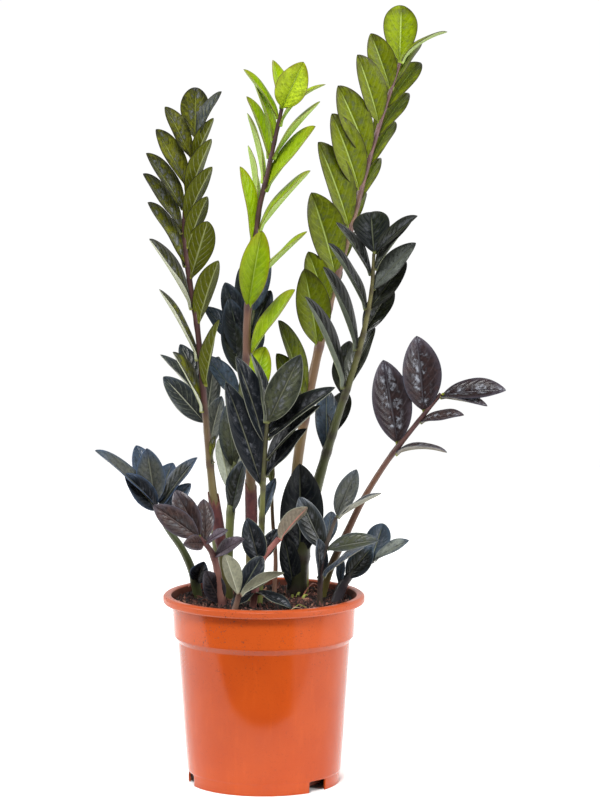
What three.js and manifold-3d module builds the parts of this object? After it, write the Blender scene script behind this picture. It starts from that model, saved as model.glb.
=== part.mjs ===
// Dark-leaved ZZ plant in a 21 cm terracotta-coloured nursery pot.
// Millimetres, +Z up. The origin is the middle of the flat pad under the pot,
// on the floor. The viewer of the reference picture stands on the -Y side.
import * as THREE from 'three';
import { mergeVertices } from 'three/addons/utils/BufferGeometryUtils.js';
import Module from 'manifold-3d';

const wasm = await Module();
wasm.setup();

// ---- driving dimensions ----
const POT_HEIGHT = 198;
const RIM_RADIUS = 105;
const RIM_WIDTH = 8.8;
const RIM_THICKNESS = 8.4;
const RIM_CROWN = 2.4;
const RIM_EDGE = 1.4;
const RIM_LIP = 1;
const COLLAR_TOP_RADIUS = 95.5;
const COLLAR_BOTTOM_RADIUS = 94;
const COLLAR_BOTTOM = 155;
const STEP_HEIGHT = 5.6;
const STEP_SHIFT = 1.2;
const BODY_TOP_RADIUS = 89.8;
const BODY_BOTTOM_RADIUS = 80.2;
const BODY_SIDE = [[82.8, 46], [86.3, 99]];
const FOOT_RADIUS = 79.1;
const FOOT_FLARE = 0.4;
const RING_LINE_BOTTOM = 12;
const RING_LINE_TOP = 13.6;
const WALL = 1.7;
const FLOOR_UNDERSIDE = 13;
const FLOOR_THICKNESS = 2;
const PAD_RADIUS = 15;
const PAD_SLOPE = 5;
const RIB_RADIUS = 66;
const RIB_WIDTH = 1.5;
const RIB_BOTTOM = 4;
const DRAIN_RADIUS = 6;
const DRAIN_CIRCLE = 45;
const DRAIN_COUNT = 6;
const DRAIN_SIDES = 10;
const NOTCH_WIDTH = 23;
const NOTCH_HEIGHT = 12;
const NOTCH_REACH = 12;
const NOTCH_ANGLES = [45, -75, 165];
const POT_SIDES = 36;

const SOIL_TOP = 188;
const SOIL_ROUGHNESS = 1.6;
const SOIL_RINGS = [80, 58, 36, 16];
const SOIL_SEED = 11;
const GAP = 0.3;
const HOLE_DEPTH = 22;
const HOLE_GAP = 0.45;

// Angles are in degrees. A ratio is a leaf's width over its length, and a root's
// offset and half width are shares of the stem's radius.
const LEAF_THICKNESS = 0.9;
const LEAF_RATIO = 0.42;
const LEAF_FOLD = 22;
const LEAF_CURL = 10;
const ROOT_OFFSET = 0.35;
const ROOT_SHARE = 0.7;

const STEM_SIDES = 6;
const RING_SPACING = 45;
const MIN_RINGS = 6;
const SHEATH_RADIUS = 6.4;

// ---- small helpers ----
const radians = THREE.MathUtils.degToRad;
const lerp = THREE.MathUtils.lerp;

// A repeatable stream of numbers between 0 and 1.
function seeded(seed) {
  let state = seed;
  return () => {
    state = (state * 16807) % 2147483647;
    return state / 2147483647;
  };
}

// The value at s (0 to 1) of a number, or of a list spread evenly over 0 to 1.
function along(profile, s) {
  if (!Array.isArray(profile)) return profile;
  const place = s * (profile.length - 1);
  const i = Math.min(Math.floor(place), profile.length - 2);
  if (i < 0) return profile[0];
  return lerp(profile[i], profile[i + 1], place - i);
}

function toSolid(geometry) {
  const bare = geometry.clone();
  bare.deleteAttribute('normal');
  bare.deleteAttribute('uv');
  const merged = mergeVertices(bare, 1e-4);
  return new wasm.Manifold(new wasm.Mesh({
    numProp: 3,
    vertProperties: new Float32Array(merged.attributes.position.array),
    triVerts: new Uint32Array(merged.index.array),
  }));
}

function toGeometry(solid) {
  const { vertProperties, triVerts } = solid.getMesh();
  const geometry = new THREE.BufferGeometry();
  geometry.setAttribute('position', new THREE.BufferAttribute(vertProperties, 3));
  geometry.setIndex(new THREE.BufferAttribute(triVerts, 1));
  geometry.computeVertexNormals();
  return geometry;
}

function geometryFrom(points, triangles) {
  const geometry = new THREE.BufferGeometry();
  geometry.setFromPoints(points);
  geometry.setIndex(triangles.flat());
  return geometry;
}

// A profile of [radius, height] pairs turned round the pot's upright axis.
function turned(pairs) {
  const points = pairs.map(([radius, height]) => new THREE.Vector2(radius, height));
  return new THREE.LatheGeometry(points, POT_SIDES).rotateX(Math.PI / 2);
}

// ---- pot ----
const floorTop = FLOOR_UNDERSIDE + FLOOR_THICKNESS;
const stepFoot = COLLAR_BOTTOM - STEP_HEIGHT;
const rimInner = RIM_RADIUS - RIM_WIDTH;
const rimUnderside = POT_HEIGHT - RIM_THICKNESS;

// The outer face from the foot up to the collar, as [radius, height].
const outerWall = [
  [FOOT_RADIUS, 0],
  [FOOT_RADIUS + FOOT_FLARE, RING_LINE_BOTTOM],
  [BODY_BOTTOM_RADIUS, RING_LINE_TOP],
  ...BODY_SIDE,
  [BODY_TOP_RADIUS, stepFoot],
  [COLLAR_BOTTOM_RADIUS, COLLAR_BOTTOM],
  [COLLAR_TOP_RADIUS, rimUnderside],
];

// The inner face of the same wall, from the rim down to the floor.
const innerWall = [
  [COLLAR_TOP_RADIUS - WALL, rimUnderside],
  [COLLAR_BOTTOM_RADIUS - WALL, COLLAR_BOTTOM + STEP_SHIFT],
  [BODY_TOP_RADIUS - WALL, stepFoot + STEP_SHIFT],
  ...BODY_SIDE.toReversed().map(([radius, height]) => [radius - WALL, height]),
  [BODY_BOTTOM_RADIUS - WALL, floorTop],
];

// The upper face of the pot's floor, down into its hollow pad.
const padInside = [
  [PAD_RADIUS + PAD_SLOPE - WALL, floorTop],
  [PAD_RADIUS - WALL, FLOOR_THICKNESS],
  [0, FLOOR_THICKNESS],
];

function potSolid() {
  const rim = [
    [RIM_RADIUS - RIM_EDGE / 2, rimUnderside],
    [RIM_RADIUS, rimUnderside + RIM_EDGE],
    [RIM_RADIUS, POT_HEIGHT - RIM_CROWN],
    [RIM_RADIUS - 0.3 * RIM_CROWN, POT_HEIGHT - 0.3 * RIM_CROWN],
    [RIM_RADIUS - RIM_CROWN, POT_HEIGHT],
    [rimInner + RIM_LIP, POT_HEIGHT],
    [rimInner, POT_HEIGHT - RIM_LIP],
  ];
  const underside = [
    [0, 0],
    [PAD_RADIUS, 0],
    [PAD_RADIUS + PAD_SLOPE, FLOOR_UNDERSIDE],
    [RIB_RADIUS, FLOOR_UNDERSIDE],
    [RIB_RADIUS, RIB_BOTTOM],
    [RIB_RADIUS + RIB_WIDTH, RIB_BOTTOM],
    [RIB_RADIUS + RIB_WIDTH, FLOOR_UNDERSIDE],
    [FOOT_RADIUS - WALL, FLOOR_UNDERSIDE],
    [FOOT_RADIUS - WALL, 0],
  ];
  const body = turned([...underside, ...outerWall, ...rim, ...innerWall, ...padInside]);
  let pot = toSolid(body);
  for (const angle of NOTCH_ANGLES) {
    const notch = new THREE.BoxGeometry(NOTCH_WIDTH, NOTCH_REACH, 2 * NOTCH_HEIGHT);
    notch.translate(0, FOOT_RADIUS, 0);
    notch.rotateZ(Math.PI + radians(angle));
    pot = pot.subtract(toSolid(notch));
  }
  for (let i = 0; i < DRAIN_COUNT; i += 1) {
    const depth = 3 * FLOOR_THICKNESS;
    const drain = new THREE.CylinderGeometry(DRAIN_RADIUS, DRAIN_RADIUS, depth, DRAIN_SIDES);
    drain.rotateX(Math.PI / 2);
    drain.translate(DRAIN_CIRCLE, 0, floorTop - FLOOR_THICKNESS / 2);
    drain.rotateZ((i / DRAIN_COUNT) * 2 * Math.PI);
    pot = pot.subtract(toSolid(drain));
  }
  return pot;
}

// ---- leaves ----
// Half of a leaf's width, as a share of its widest, at steps from root to tip.
const LEAF_OUTLINE = [
  [0, 0.12],
  [0.25, 0.82],
  [0.66, 0.94],
];

// One leaf as a thin folded blade. `lean` is its angle from plumb in the front
// view (+ to the right), `front` its angle toward the viewer, and `turn` its
// roll: 0 shows its upper face, 90 its edge, 180 its underside. `curl` is how
// far the blade bends back from root to tip. All four are in degrees.
function leafSolid(joint, stemLine, { lean, front, turn, length, ratio, curl, stemRadius }) {
  const side = Math.sin(radians(lean));
  const up = Math.cos(radians(lean));
  const toViewer = radians(front);
  const forward = new THREE.Vector3(
    side * Math.cos(toViewer),
    -Math.sin(toViewer),
    up * Math.cos(toViewer),
  );
  const facing = new THREE.Vector3(0, -1, 0);
  facing.addScaledVector(forward, -facing.dot(forward)).normalize();
  const inward = new THREE.Vector3().crossVectors(forward, facing);
  if (lean > 0) inward.negate();
  const normal = facing.multiplyScalar(Math.cos(radians(turn)))
    .addScaledVector(inward, Math.sin(radians(turn)));
  const across = new THREE.Vector3().crossVectors(forward, normal);

  // The root is sunk in the stem, on the leaf's own side of its middle line.
  const outward = forward.clone().addScaledVector(stemLine, -forward.dot(stemLine));
  const root = joint.clone().addScaledVector(outward.normalize(), stemRadius * ROOT_OFFSET);

  const bend = radians(curl) || 1e-4;
  const spine = (t) => {
    const angle = bend * (0.5 - t);
    const ahead = (Math.sin(bend / 2) - Math.sin(angle)) / bend;
    const lift = (Math.cos(angle) - Math.cos(bend / 2)) / bend;
    return root.clone()
      .addScaledVector(forward, ahead * length)
      .addScaledVector(normal, lift * length);
  };

  const halfWidth = (length * ratio) / 2;
  const fold = radians(LEAF_FOLD);
  const rise = halfWidth * Math.sin(fold);
  const reach = halfWidth * Math.cos(fold);
  const points = [];
  for (const [t, width] of LEAF_OUTLINE) {
    const share = t === 0 ? Math.min(width, (stemRadius * ROOT_SHARE) / halfWidth) : width;
    const middle = spine(t);
    const left = middle.clone().addScaledVector(across, -reach * share)
      .addScaledVector(normal, rise * share);
    const right = middle.clone().addScaledVector(across, reach * share)
      .addScaledVector(normal, rise * share);
    points.push(left, middle, right);
  }
  points.push(spine(1));
  const count = points.length;
  const tip = count - 1;
  const under = points.map((p) => p.clone().addScaledVector(normal, -LEAF_THICKNESS));

  // Both faces are split the same way, mirrored at the midrib.
  const upper = [];
  const edges = [[0, 1], [1, 2]];
  for (let row = 0; row + 3 < tip; row += 3) {
    upper.push(
      [row, row + 1, row + 3],
      [row + 1, row + 4, row + 3],
      [row + 1, row + 2, row + 5],
      [row + 1, row + 5, row + 4],
    );
    edges.push([row + 3, row], [row + 2, row + 5]);
  }
  upper.push([tip - 3, tip - 2, tip], [tip - 2, tip - 1, tip]);
  edges.push([tip, tip - 3], [tip - 1, tip]);
  const lower = upper.map(([a, b, c]) => [a + count, c + count, b + count]);
  const walls = edges.flatMap(([a, b]) => [[b, a, a + count], [b, a + count, b + count]]);
  return toSolid(geometryFrom([...points, ...under], [...upper, ...lower, ...walls]));
}

// ---- stems ----
// A round stem along a curve, closed at both ends. `radiusAt` gives its radius
// from the share of the way along.
function stemGeometry(curve, radiusAt, rings) {
  const { normals, binormals } = curve.computeFrenetFrames(rings, false);
  const points = [];
  const triangles = [];
  for (let i = 0; i <= rings; i += 1) {
    const centre = curve.getPointAt(i / rings);
    const radius = radiusAt(i / rings);
    for (let k = 0; k < STEM_SIDES; k += 1) {
      const angle = (k / STEM_SIDES) * 2 * Math.PI;
      points.push(centre.clone()
        .addScaledVector(normals[i], radius * Math.cos(angle))
        .addScaledVector(binormals[i], radius * Math.sin(angle)));
    }
  }
  for (let i = 0; i < rings; i += 1) {
    for (let k = 0; k < STEM_SIDES; k += 1) {
      const a = i * STEM_SIDES + k;
      const b = i * STEM_SIDES + ((k + 1) % STEM_SIDES);
      triangles.push([a, b, b + STEM_SIDES], [a, b + STEM_SIDES, a + STEM_SIDES]);
    }
  }
  const last = rings * STEM_SIDES;
  for (let k = 1; k + 1 < STEM_SIDES; k += 1) {
    triangles.push([0, k + 1, k], [last, last + k, last + k + 1]);
  }
  return geometryFrom(points, triangles);
}

// ---- the fronds ----
// `route` is the stem's middle line, from just under the soil's surface to the end leaf.
// `girth` is its radius along that line. Each rank is a row of leaves, and its
// lists are spread over the row from the first leaf to the last.
const FRONDS = [
  {
    name: 'frond_tall_left',
    colour: 0x55641c,
    route: [[-36, 22, 181], [-45, 20, 246], [-54, 14, 310], [-63, 8, 412], [-69, 2, 479],
      [-79, -2, 545], [-81, -6, 596], [-70, -10, 672]],
    girth: [5.4, 4.5, 3.3, 3, 2.3, 1.5],
    sheath: [0.16, 0.27],
    ranks: [
      { count: 1, at: 1, lean: 0, front: -36, turn: 0, length: 64, ratio: 0.5 },
      {
        count: 8,
        at: [0.96, 0.9, 0.85, 0.8, 0.73, 0.64, 0.53, 0.42],
        lean: [-27, -28, -33, -33, -30, -31, -28, -26],
        front: [5, 15],
        turn: [40, 46, 53, 68, 67, 84, 80, 80],
        length: [60, 68, 72, 77, 81, 90, 90, 76],
        ratio: [0.42, 0.42, 0.42, 0.42, 0.42, 0.42, 0.27, 0.42],
      },
      {
        count: 8,
        at: [1, 0.945, 0.87, 0.825, 0.77, 0.705, 0.61, 0.475],
        lean: [29, 25, 22, 26, 22, 17, 18, 13],
        front: [12, 14],
        turn: [58, 125, 132, 140, 145, 172, 145, 120],
        length: [58, 56, 72, 67, 61, 66, 73, 77],
        ratio: [0.42, 0.36, 0.37, 0.38, 0.4, 0.48, 0.4, 0.36],
      },
      { count: 1, at: 0.31, lean: 10, front: 20, turn: 60, length: 34, ratio: 0.36 },
    ],
  },
  {
    name: 'frond_tall_centre',
    colour: 0x8cb41e,
    route: [[-14, 8, 181], [-13, 2, 270], [-14, -4, 335], [-17, -12, 442], [-16, -16, 498],
      [-6, -22, 590], [4, -25, 636], [19, -30, 704]],
    girth: [6, 5, 4.8, 3.8, 2.8, 1.8],
    sheath: [0.19, 0.28],
    ranks: [
      { count: 1, at: 1, lean: 24, front: 42, turn: 0, length: 73, ratio: 0.47 },
      { count: 1, at: 1, lean: -10, front: -35, turn: 52, length: 60 },
      {
        count: 6,
        at: [0.965, 0.9, 0.835, 0.755, 0.65, 0.505],
        lean: [48, 40, 38, 41, 46, 34],
        front: [10, 5],
        turn: [88, 88, 71, 81, 88, 70],
        length: [68, 79, 87, 85, 81, 87],
        ratio: [0.2, 0.3, 0.4, 0.38, 0.26, 0.4],
        curl: [50, 12, 8, 8, 5, 8],
      },
      {
        count: 6,
        at: [0.98, 0.935, 0.9, 0.85, 0.785, 0.725],
        lean: [-36, -19, -21, -14, -8, -9],
        front: [-10, -12, -14, -16, -20, 12],
        turn: [74, 71, 70, 84, 86, 60],
        length: [63, 65, 70, 77, 77, 87],
        ratio: [0.38, 0.42, 0.4, 0.32, 0.32, 0.34],
      },
      {
        count: 2,
        at: [0.605, 0.415],
        lean: [10, 15],
        front: [28, 5],
        turn: 12,
        length: [96, 62],
        ratio: [0.34, 0.52],
      },
    ],
  },
  {
    name: 'frond_tall_right',
    colour: 0x7f9a2c,
    route: [[41, 60, 181], [41, 60, 240], [33, 57, 304], [46, 56, 395], [69, 57, 498],
      [91, 62, 577], [114, 70, 661], [142, 80, 747]],
    girth: [5.6, 5.4, 5, 4, 2.8, 1.6],
    ranks: [
      { count: 1, at: 1, lean: 3, front: -40, turn: 0, length: 78, ratio: 0.5 },
      { count: 1, at: 1, lean: 57, front: -10, turn: 86, length: 62, ratio: 0.3, curl: 45 },
      {
        count: 8,
        at: [0.95, 0.91, 0.857, 0.8, 0.735, 0.68, 0.61, 0.54],
        lean: [33, 38, 37, 32, 28, 23, 23, 18],
        front: -42,
        turn: [55, 40, 40, 45, 45, 50, 50, 50],
        length: [80, 84, 78, 76, 70, 60, 56, 56],
      },
      {
        count: 10,
        at: [0.95, 0.885, 0.82, 0.76, 0.69, 0.6, 0.54, 0.47, 0.36, 0.335],
        lean: [-20, -18, -23, -20, -20, -16, -18, -10, -17, -21],
        front: [20, 24],
        turn: [12, 34, 34, 34, 40, 30, 22, 8, 60, 45],
        length: [67, 82, 90, 94, 106, 102, 71, 94, 108, 86],
        ratio: [0.46, 0.46, 0.46, 0.45, 0.42, 0.44, 0.44, 0.42, 0.34, 0.4],
      },
    ],
  },
  {
    name: 'frond_dark_right',
    colour: 0x2c3628,
    route: [[32, 42, 181], [41, 29, 244], [54, 15, 304], [74, -3, 376], [97, -20, 450],
      [110, -32, 512], [113, -42, 557]],
    girth: [10.5, 7.6, 5, 3.8, 2.6, 1.5],
    ranks: [
      { count: 1, at: 1, lean: -3, front: -60, turn: 0, length: 76, ratio: 0.54 },
      {
        count: 7,
        at: [1, 0.955, 0.9, 0.845, 0.78, 0.62, 0.49],
        lean: [48, 37, 42, 38, 34, 25, 20],
        front: [10, 5, 5, -10, -35, -15, -45],
        turn: [60, 72, 44, 30, 20, 48, 10],
        length: [60, 70, 67, 64, 66, 72, 60],
      },
      {
        count: 4,
        at: [0.94, 0.845, 0.73, 0.62],
        lean: [-34, -30, -22, -23],
        front: [5, 12],
        turn: [72, 78, 80, 84],
        length: [67, 82, 98, 110],
      },
      {
        count: 4,
        at: [0.6, 0.44, 0.135, 0.04],
        lean: [6, 0, 0, -10],
        front: [-40, -14, 22, 25],
        turn: [40, 5, 12, 15],
        length: [70, 66, 113, 70],
        ratio: [0.42, 0.42, 0.45, 0.34],
      },
    ],
  },
  {
    name: 'frond_far_right',
    colour: 0x3a2e32,
    route: [[58, 24, 181], [68, 17, 218], [87, 8, 262], [104, 2, 298], [130, -6, 341],
      [164, -14, 386], [183, -18, 410]],
    girth: [4.6, 4, 3.2, 2.8, 1.9],
    ranks: [
      { count: 1, at: 1, lean: 85, front: 12, turn: 42, length: 68 },
      {
        count: 2,
        at: [0.9, 0.735],
        lean: [-6, -10],
        front: 5,
        turn: 5,
        length: [82, 92],
        ratio: [0.54, 0.48],
      },
      {
        count: 3,
        at: [0.99, 0.86, 0.7],
        lean: [99, 79, 88],
        front: [25, 20, 10],
        turn: [78, 66, 88],
        length: [54, 50, 57],
        curl: [10, 10, 45],
      },
    ],
  },
  {
    name: 'frond_behind_centre',
    colour: 0x2a3330,
    route: [[-38, 38, 181], [-37, 45, 250], [-32, 53, 318], [-25, 62, 394], [-19, 70, 451],
      [-11, 76, 485]],
    girth: [5, 4.4, 3.6, 1.6],
    ranks: [
      { count: 1, at: 1, lean: 11, front: -12, turn: 12, length: 69 },
      {
        count: 6,
        at: [0.93, 0.885, 0.86, 0.835, 0.78, 0.7],
        lean: [-6, -18, -42, -13, -15, -38],
        front: [-16, -2, -12, 12, 6, -4],
        turn: [20, 15, 45, 10, 10, 30],
        length: [72, 70, 65, 70, 67, 58],
      },
      {
        count: 4,
        at: [0.9, 0.76, 0.62, 0.4],
        lean: [25, 22, 25, 22],
        front: [-15, -25, -25, 10],
        turn: [20, 35, 40, 110],
        length: [60, 62, 62, 48],
      },
      {
        count: 3,
        at: [0.465, 0.38, 0.31],
        lean: [-5, -13, 14],
        front: [12, -8, 14],
        turn: [18, 155, 40],
        length: [72, 58, 63],
      },
    ],
  },
  {
    name: 'frond_behind_left',
    colour: 0x4a5052,
    route: [[-45, 50, 181], [-53, 61, 255], [-58, 73, 318], [-61, 82, 359], [-65, 89, 391]],
    girth: [4.2, 3.6, 2.6, 1.5],
    ranks: [
      { count: 1, at: 1, lean: -23, front: -15, turn: 40, length: 65 },
      {
        count: 2,
        at: [0.98, 0.88],
        lean: [-42, -41],
        front: [-8, 8],
        turn: [72, 18],
        length: [70, 69],
      },
      {
        count: 3,
        at: [0.985, 0.9, 0.76],
        lean: [18, 8, 14],
        front: [-20, -8, 5],
        turn: [12, 10, 25],
        length: [53, 58, 58],
      },
    ],
  },
  {
    name: 'frond_front_centre',
    colour: 0x27303a,
    route: [[-6, -12, 181], [-3, -20, 237], [-1, -40, 303], [2, -57, 357], [4, -66, 385]],
    girth: [4.2, 3.4, 2.7, 1.8],
    ranks: [
      { count: 1, at: 1, lean: 25, front: 10, turn: 12, length: 82, ratio: 0.43 },
      {
        count: 3,
        at: [1, 0.89, 0.66],
        lean: [-13, -18, -18],
        front: [-10, 5, 15],
        turn: [80, 42, 20],
        length: [75, 97, 124],
        ratio: [0.4, 0.34, 0.27],
      },
      {
        count: 5,
        at: [0.945, 0.915, 0.805, 0.715, 0.49],
        lean: [40, 52, 44, 40, 19],
        front: [-25, 5, 10, 12, -20],
        turn: [20, 64, 72, 62, 40],
        length: [36, 90, 83, 70, 45],
      },
    ],
  },
  {
    name: 'frond_far_left',
    colour: 0x33404c,
    route: [[-68, 30, 181], [-75, 24, 216], [-86, 16, 243], [-102, 6, 268], [-113, -4, 294]],
    girth: [5, 4.4, 3.4, 2.2],
    ranks: [
      { count: 1, at: 1, lean: -8, front: 14, turn: 0, length: 62, ratio: 0.52 },
      {
        count: 3,
        at: [1, 0.98, 0.93],
        lean: [-43, -20, -37],
        front: [32, -22, 30],
        turn: [72, 20, 30],
        length: [102, 68, 63],
        ratio: [0.3, 0.44, 0.42],
      },
      {
        count: 4,
        at: [0.985, 0.94, 0.87, 0.2],
        lean: [23, 37, 42, 20],
        front: [-38, 0, 0, 40],
        turn: [24, 52, 30, 5],
        length: [54, 68, 46, 36],
        ratio: [0.46, 0.36, 0.44, 0.6],
      },
    ],
  },
  {
    name: 'frond_front_left',
    colour: 0x4f3e3e,
    route: [[-42, -20, 181], [-46, -31, 215], [-52, -43, 246], [-65, -56, 266]],
    girth: [4.5, 4.2, 3.5, 2],
    ranks: [
      { count: 1, at: 1, lean: -53, front: 10, turn: 5, length: 60, ratio: 0.46 },
      {
        count: 3,
        at: [1, 0.92, 0.13],
        lean: [-28, -80, -23],
        front: [-8, 55, 20],
        turn: [5, 30, 8],
        length: [55, 36, 42],
        ratio: [0.5, 0.5, 0.6],
      },
      {
        count: 3,
        at: [0.91, 0.9, 0.7],
        lean: [-2, 55, 56],
        front: [-30, 30, 30],
        turn: [5, 60, 50],
        length: [48, 33, 44],
        ratio: 0.44,
      },
    ],
  },
  {
    name: 'frond_low_front',
    colour: 0x9a9c86,
    route: [[-33, -52, 181], [-28, -54, 196], [-25, -56, 207]],
    girth: [3.8, 3, 2.6],
    ranks: [
      {
        count: 3,
        at: 1,
        lean: [-17, 62, 31],
        front: [12, 10, -10],
        turn: [165, 132, 10],
        length: [46, 53, 46],
        ratio: [0.46, 0.42, 0.5],
      },
    ],
  },
  {
    name: 'frond_low_centre',
    colour: 0x2b343e,
    route: [[-12, -30, 181], [-9, -34, 206], [-3, -38, 236], [6, -41, 251], [16, -44, 263]],
    girth: [4, 3.6, 3.2, 3.1, 2.8],
    ranks: [
      { count: 1, at: 1, lean: 40, front: 12, turn: 130, length: 47, ratio: 0.58 },
      {
        count: 4,
        at: [0.67, 0.62, 0.29, 0.28],
        lean: [26, -14, 111, -121],
        front: [-6, 15, 30, 18],
        turn: [20, 10, 70, 50],
        length: [36, 54, 45, 29],
        ratio: [0.5, 0.5, 0.44, 0.56],
      },
    ],
  },
  {
    name: 'young_shoot',
    colour: 0xb08c86,
    route: [[10, 28, 181], [12, 26, 229], [9, 22, 272], [8, 20, 307]],
    girth: [2.4, 2.2, 1.6],
    ranks: [
      { count: 1, at: 1, lean: 4, front: 5, turn: 50, length: 34, ratio: 0.3 },
    ],
  },
  {
    name: 'frond_right_front',
    colour: 0x4b4f50,
    route: [[58, -14, 181], [59, -22, 219], [64, -30, 251], [75, -34, 284]],
    girth: [3, 2.7, 2.3, 1.7],
    ranks: [
      { count: 1, at: 1, lean: 22, front: 5, turn: 12, length: 55 },
      {
        count: 3,
        at: [1, 0.665, 0.375],
        lean: [60, 78, 53],
        front: [10, 15, 15],
        turn: [96, 50, 100],
        length: [54, 58, 59],
      },
      {
        count: 3,
        at: [0.65, 0.69, 0.335],
        lean: [-25, 11, -3],
        front: [-5, -40, 20],
        turn: [0, 15, 50],
        length: [61, 43, 50],
        ratio: [0.46, 0.44, 0.4],
      },
    ],
  },
  {
    name: 'frond_right_low',
    colour: 0x2f3d48,
    route: [[73, 2, 181], [83, -2, 209], [100, -5, 227], [114, -9, 234]],
    girth: [7, 5.2, 3.2, 2],
    ranks: [
      { count: 1, at: 1, lean: 59, front: 10, turn: 60, length: 44 },
      {
        count: 3,
        at: [0.955, 0.52, 0.395],
        lean: [21, 38, 3],
        front: [-35, 8, 0],
        turn: [10, 12, 45],
        length: [47, 44, 30],
        ratio: [0.6, 0.58, 0.44],
      },
    ],
  },
];

// ---- joining each frond ----
// The stem's middle line, carried on straight down to the bottom of its hole.
function stemCurve([first, second, ...rest]) {
  const depth = (HOLE_DEPTH - GAP) / (second[2] - first[2]);
  const foot = first.map((value, axis) => value - (second[axis] - value) * depth);
  const points = [foot, first, second, ...rest].map((p) => new THREE.Vector3(...p));
  return new THREE.CatmullRomCurve3(points, false, 'catmullrom', 0.5);
}

function frondSolid({ route, girth, ranks, sheath }) {
  const curve = stemCurve(route);
  const total = curve.getLength();
  const buried = curve.getPointAt(0).distanceTo(new THREE.Vector3(...route[0])) / total;
  const radiusAt = (u) => along(girth, Math.max(0, (u - buried) / (1 - buried)));
  const rings = Math.max(MIN_RINGS, Math.ceil(total / RING_SPACING));
  let frond = toSolid(stemGeometry(curve, radiusAt, rings));
  if (sheath) {
    const wrapped = [0, 0.5, 1].map((s) => curve.getPointAt(lerp(...sheath, s)));
    const sleeve = new THREE.CatmullRomCurve3(wrapped, false, 'catmullrom', 0.5);
    frond = frond.add(toSolid(stemGeometry(sleeve, () => SHEATH_RADIUS, 2)));
  }
  for (const rank of ranks) {
    for (let i = 0; i < rank.count; i += 1) {
      const s = rank.count > 1 ? i / (rank.count - 1) : 0;
      const u = lerp(buried, 1, along(rank.at, s));
      const leaf = {
        lean: along(rank.lean, s),
        front: along(rank.front, s),
        turn: along(rank.turn, s),
        length: along(rank.length, s),
        ratio: along(rank.ratio ?? LEAF_RATIO, s),
        curl: along(rank.curl ?? LEAF_CURL, s),
        stemRadius: radiusAt(u),
      };
      frond = frond.add(leafSolid(curve.getPointAt(u), curve.getTangentAt(u), leaf));
    }
  }
  return frond;
}

// A plain hole round the foot of one stem, from HOLE_DEPTH below its route's start.
function stemHole({ route: [first, second], girth }) {
  const foot = new THREE.Vector3(...first);
  const up = new THREE.Vector3(...second).sub(foot);
  const line = new THREE.LineCurve3(
    foot.clone().addScaledVector(up, -HOLE_DEPTH / up.z),
    foot.clone().addScaledVector(up, HOLE_DEPTH / up.z),
  );
  return toSolid(stemGeometry(line, () => girth[0] + HOLE_GAP, 1));
}

// ---- soil ----
// It fills the pot to SOIL_TOP, a small gap clear of the walls and the floor.
function soilSolid() {
  const inset = ([radius, height]) => [Math.max(0, radius - GAP), height + GAP];
  const base = padInside.toReversed().map(inset);
  const sides = innerWall.toReversed().slice(0, -1).map(inset);
  const filled = (SOIL_TOP - COLLAR_BOTTOM) / (rimUnderside - COLLAR_BOTTOM);
  const edge = [lerp(COLLAR_BOTTOM_RADIUS, COLLAR_TOP_RADIUS, filled) - WALL - 2 * GAP, SOIL_TOP];
  const top = SOIL_RINGS.map((radius) => [radius, SOIL_TOP]);
  const profile = [...base, ...sides, edge, ...top, [0, SOIL_TOP]];
  const body = turned(profile);
  const random = seeded(SOIL_SEED);
  const spots = body.attributes.position;
  const firstRing = base.length + sides.length + 1;
  for (let ring = firstRing; ring < profile.length - 1; ring += 1) {
    const heights = Array.from({ length: POT_SIDES }, () => (random() - 0.5) * 2 * SOIL_ROUGHNESS);
    for (let side = 0; side <= POT_SIDES; side += 1) {
      const spot = side * profile.length + ring;
      spots.setZ(spot, SOIL_TOP + heights[side % POT_SIDES]);
    }
  }
  return FRONDS.reduce((soil, frond) => soil.subtract(stemHole(frond)), toSolid(body));
}

// ---- the whole plant ----
function piece(name, solid, color, roughness) {
  const material = new THREE.MeshStandardMaterial({ color, roughness, metalness: 0 });
  const mesh = new THREE.Mesh(toGeometry(solid), material);
  mesh.name = name;
  return mesh;
}

const plant = new THREE.Group();
plant.add(piece('pot', potSolid(), 0xd65a28, 0.4));
plant.add(piece('soil', soilSolid(), 0x3a2420, 0.95));
for (const frond of FRONDS) {
  plant.add(piece(frond.name, frondSolid(frond), frond.colour, 0.35));
}

export default plant;
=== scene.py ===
# A dark-leaved ZZ plant with young green fronds, in a terracotta-coloured nursery pot.
# Sizes are in millimetres and become metres when a mesh is made. Angles are in degrees.
# +Z is up. The viewer of the reference picture stands on the -Y side, with +X to the right.
import random
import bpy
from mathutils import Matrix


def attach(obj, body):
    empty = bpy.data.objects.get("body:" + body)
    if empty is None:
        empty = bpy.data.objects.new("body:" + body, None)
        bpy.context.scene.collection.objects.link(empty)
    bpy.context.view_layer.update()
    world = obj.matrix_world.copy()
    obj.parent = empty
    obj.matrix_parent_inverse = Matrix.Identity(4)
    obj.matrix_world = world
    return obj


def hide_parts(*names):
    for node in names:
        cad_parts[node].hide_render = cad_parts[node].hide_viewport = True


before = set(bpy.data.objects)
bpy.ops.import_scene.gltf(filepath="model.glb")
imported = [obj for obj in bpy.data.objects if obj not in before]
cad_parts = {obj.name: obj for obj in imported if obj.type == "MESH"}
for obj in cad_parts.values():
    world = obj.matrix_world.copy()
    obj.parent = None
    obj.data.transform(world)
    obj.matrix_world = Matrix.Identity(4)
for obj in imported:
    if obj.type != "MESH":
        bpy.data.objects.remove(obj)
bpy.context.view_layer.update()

from types import SimpleNamespace

import bmesh
import bpy
import numpy as np
from mathutils import Euler, Matrix, Vector, noise

MM = 0.001
BODY = "root"


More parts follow.
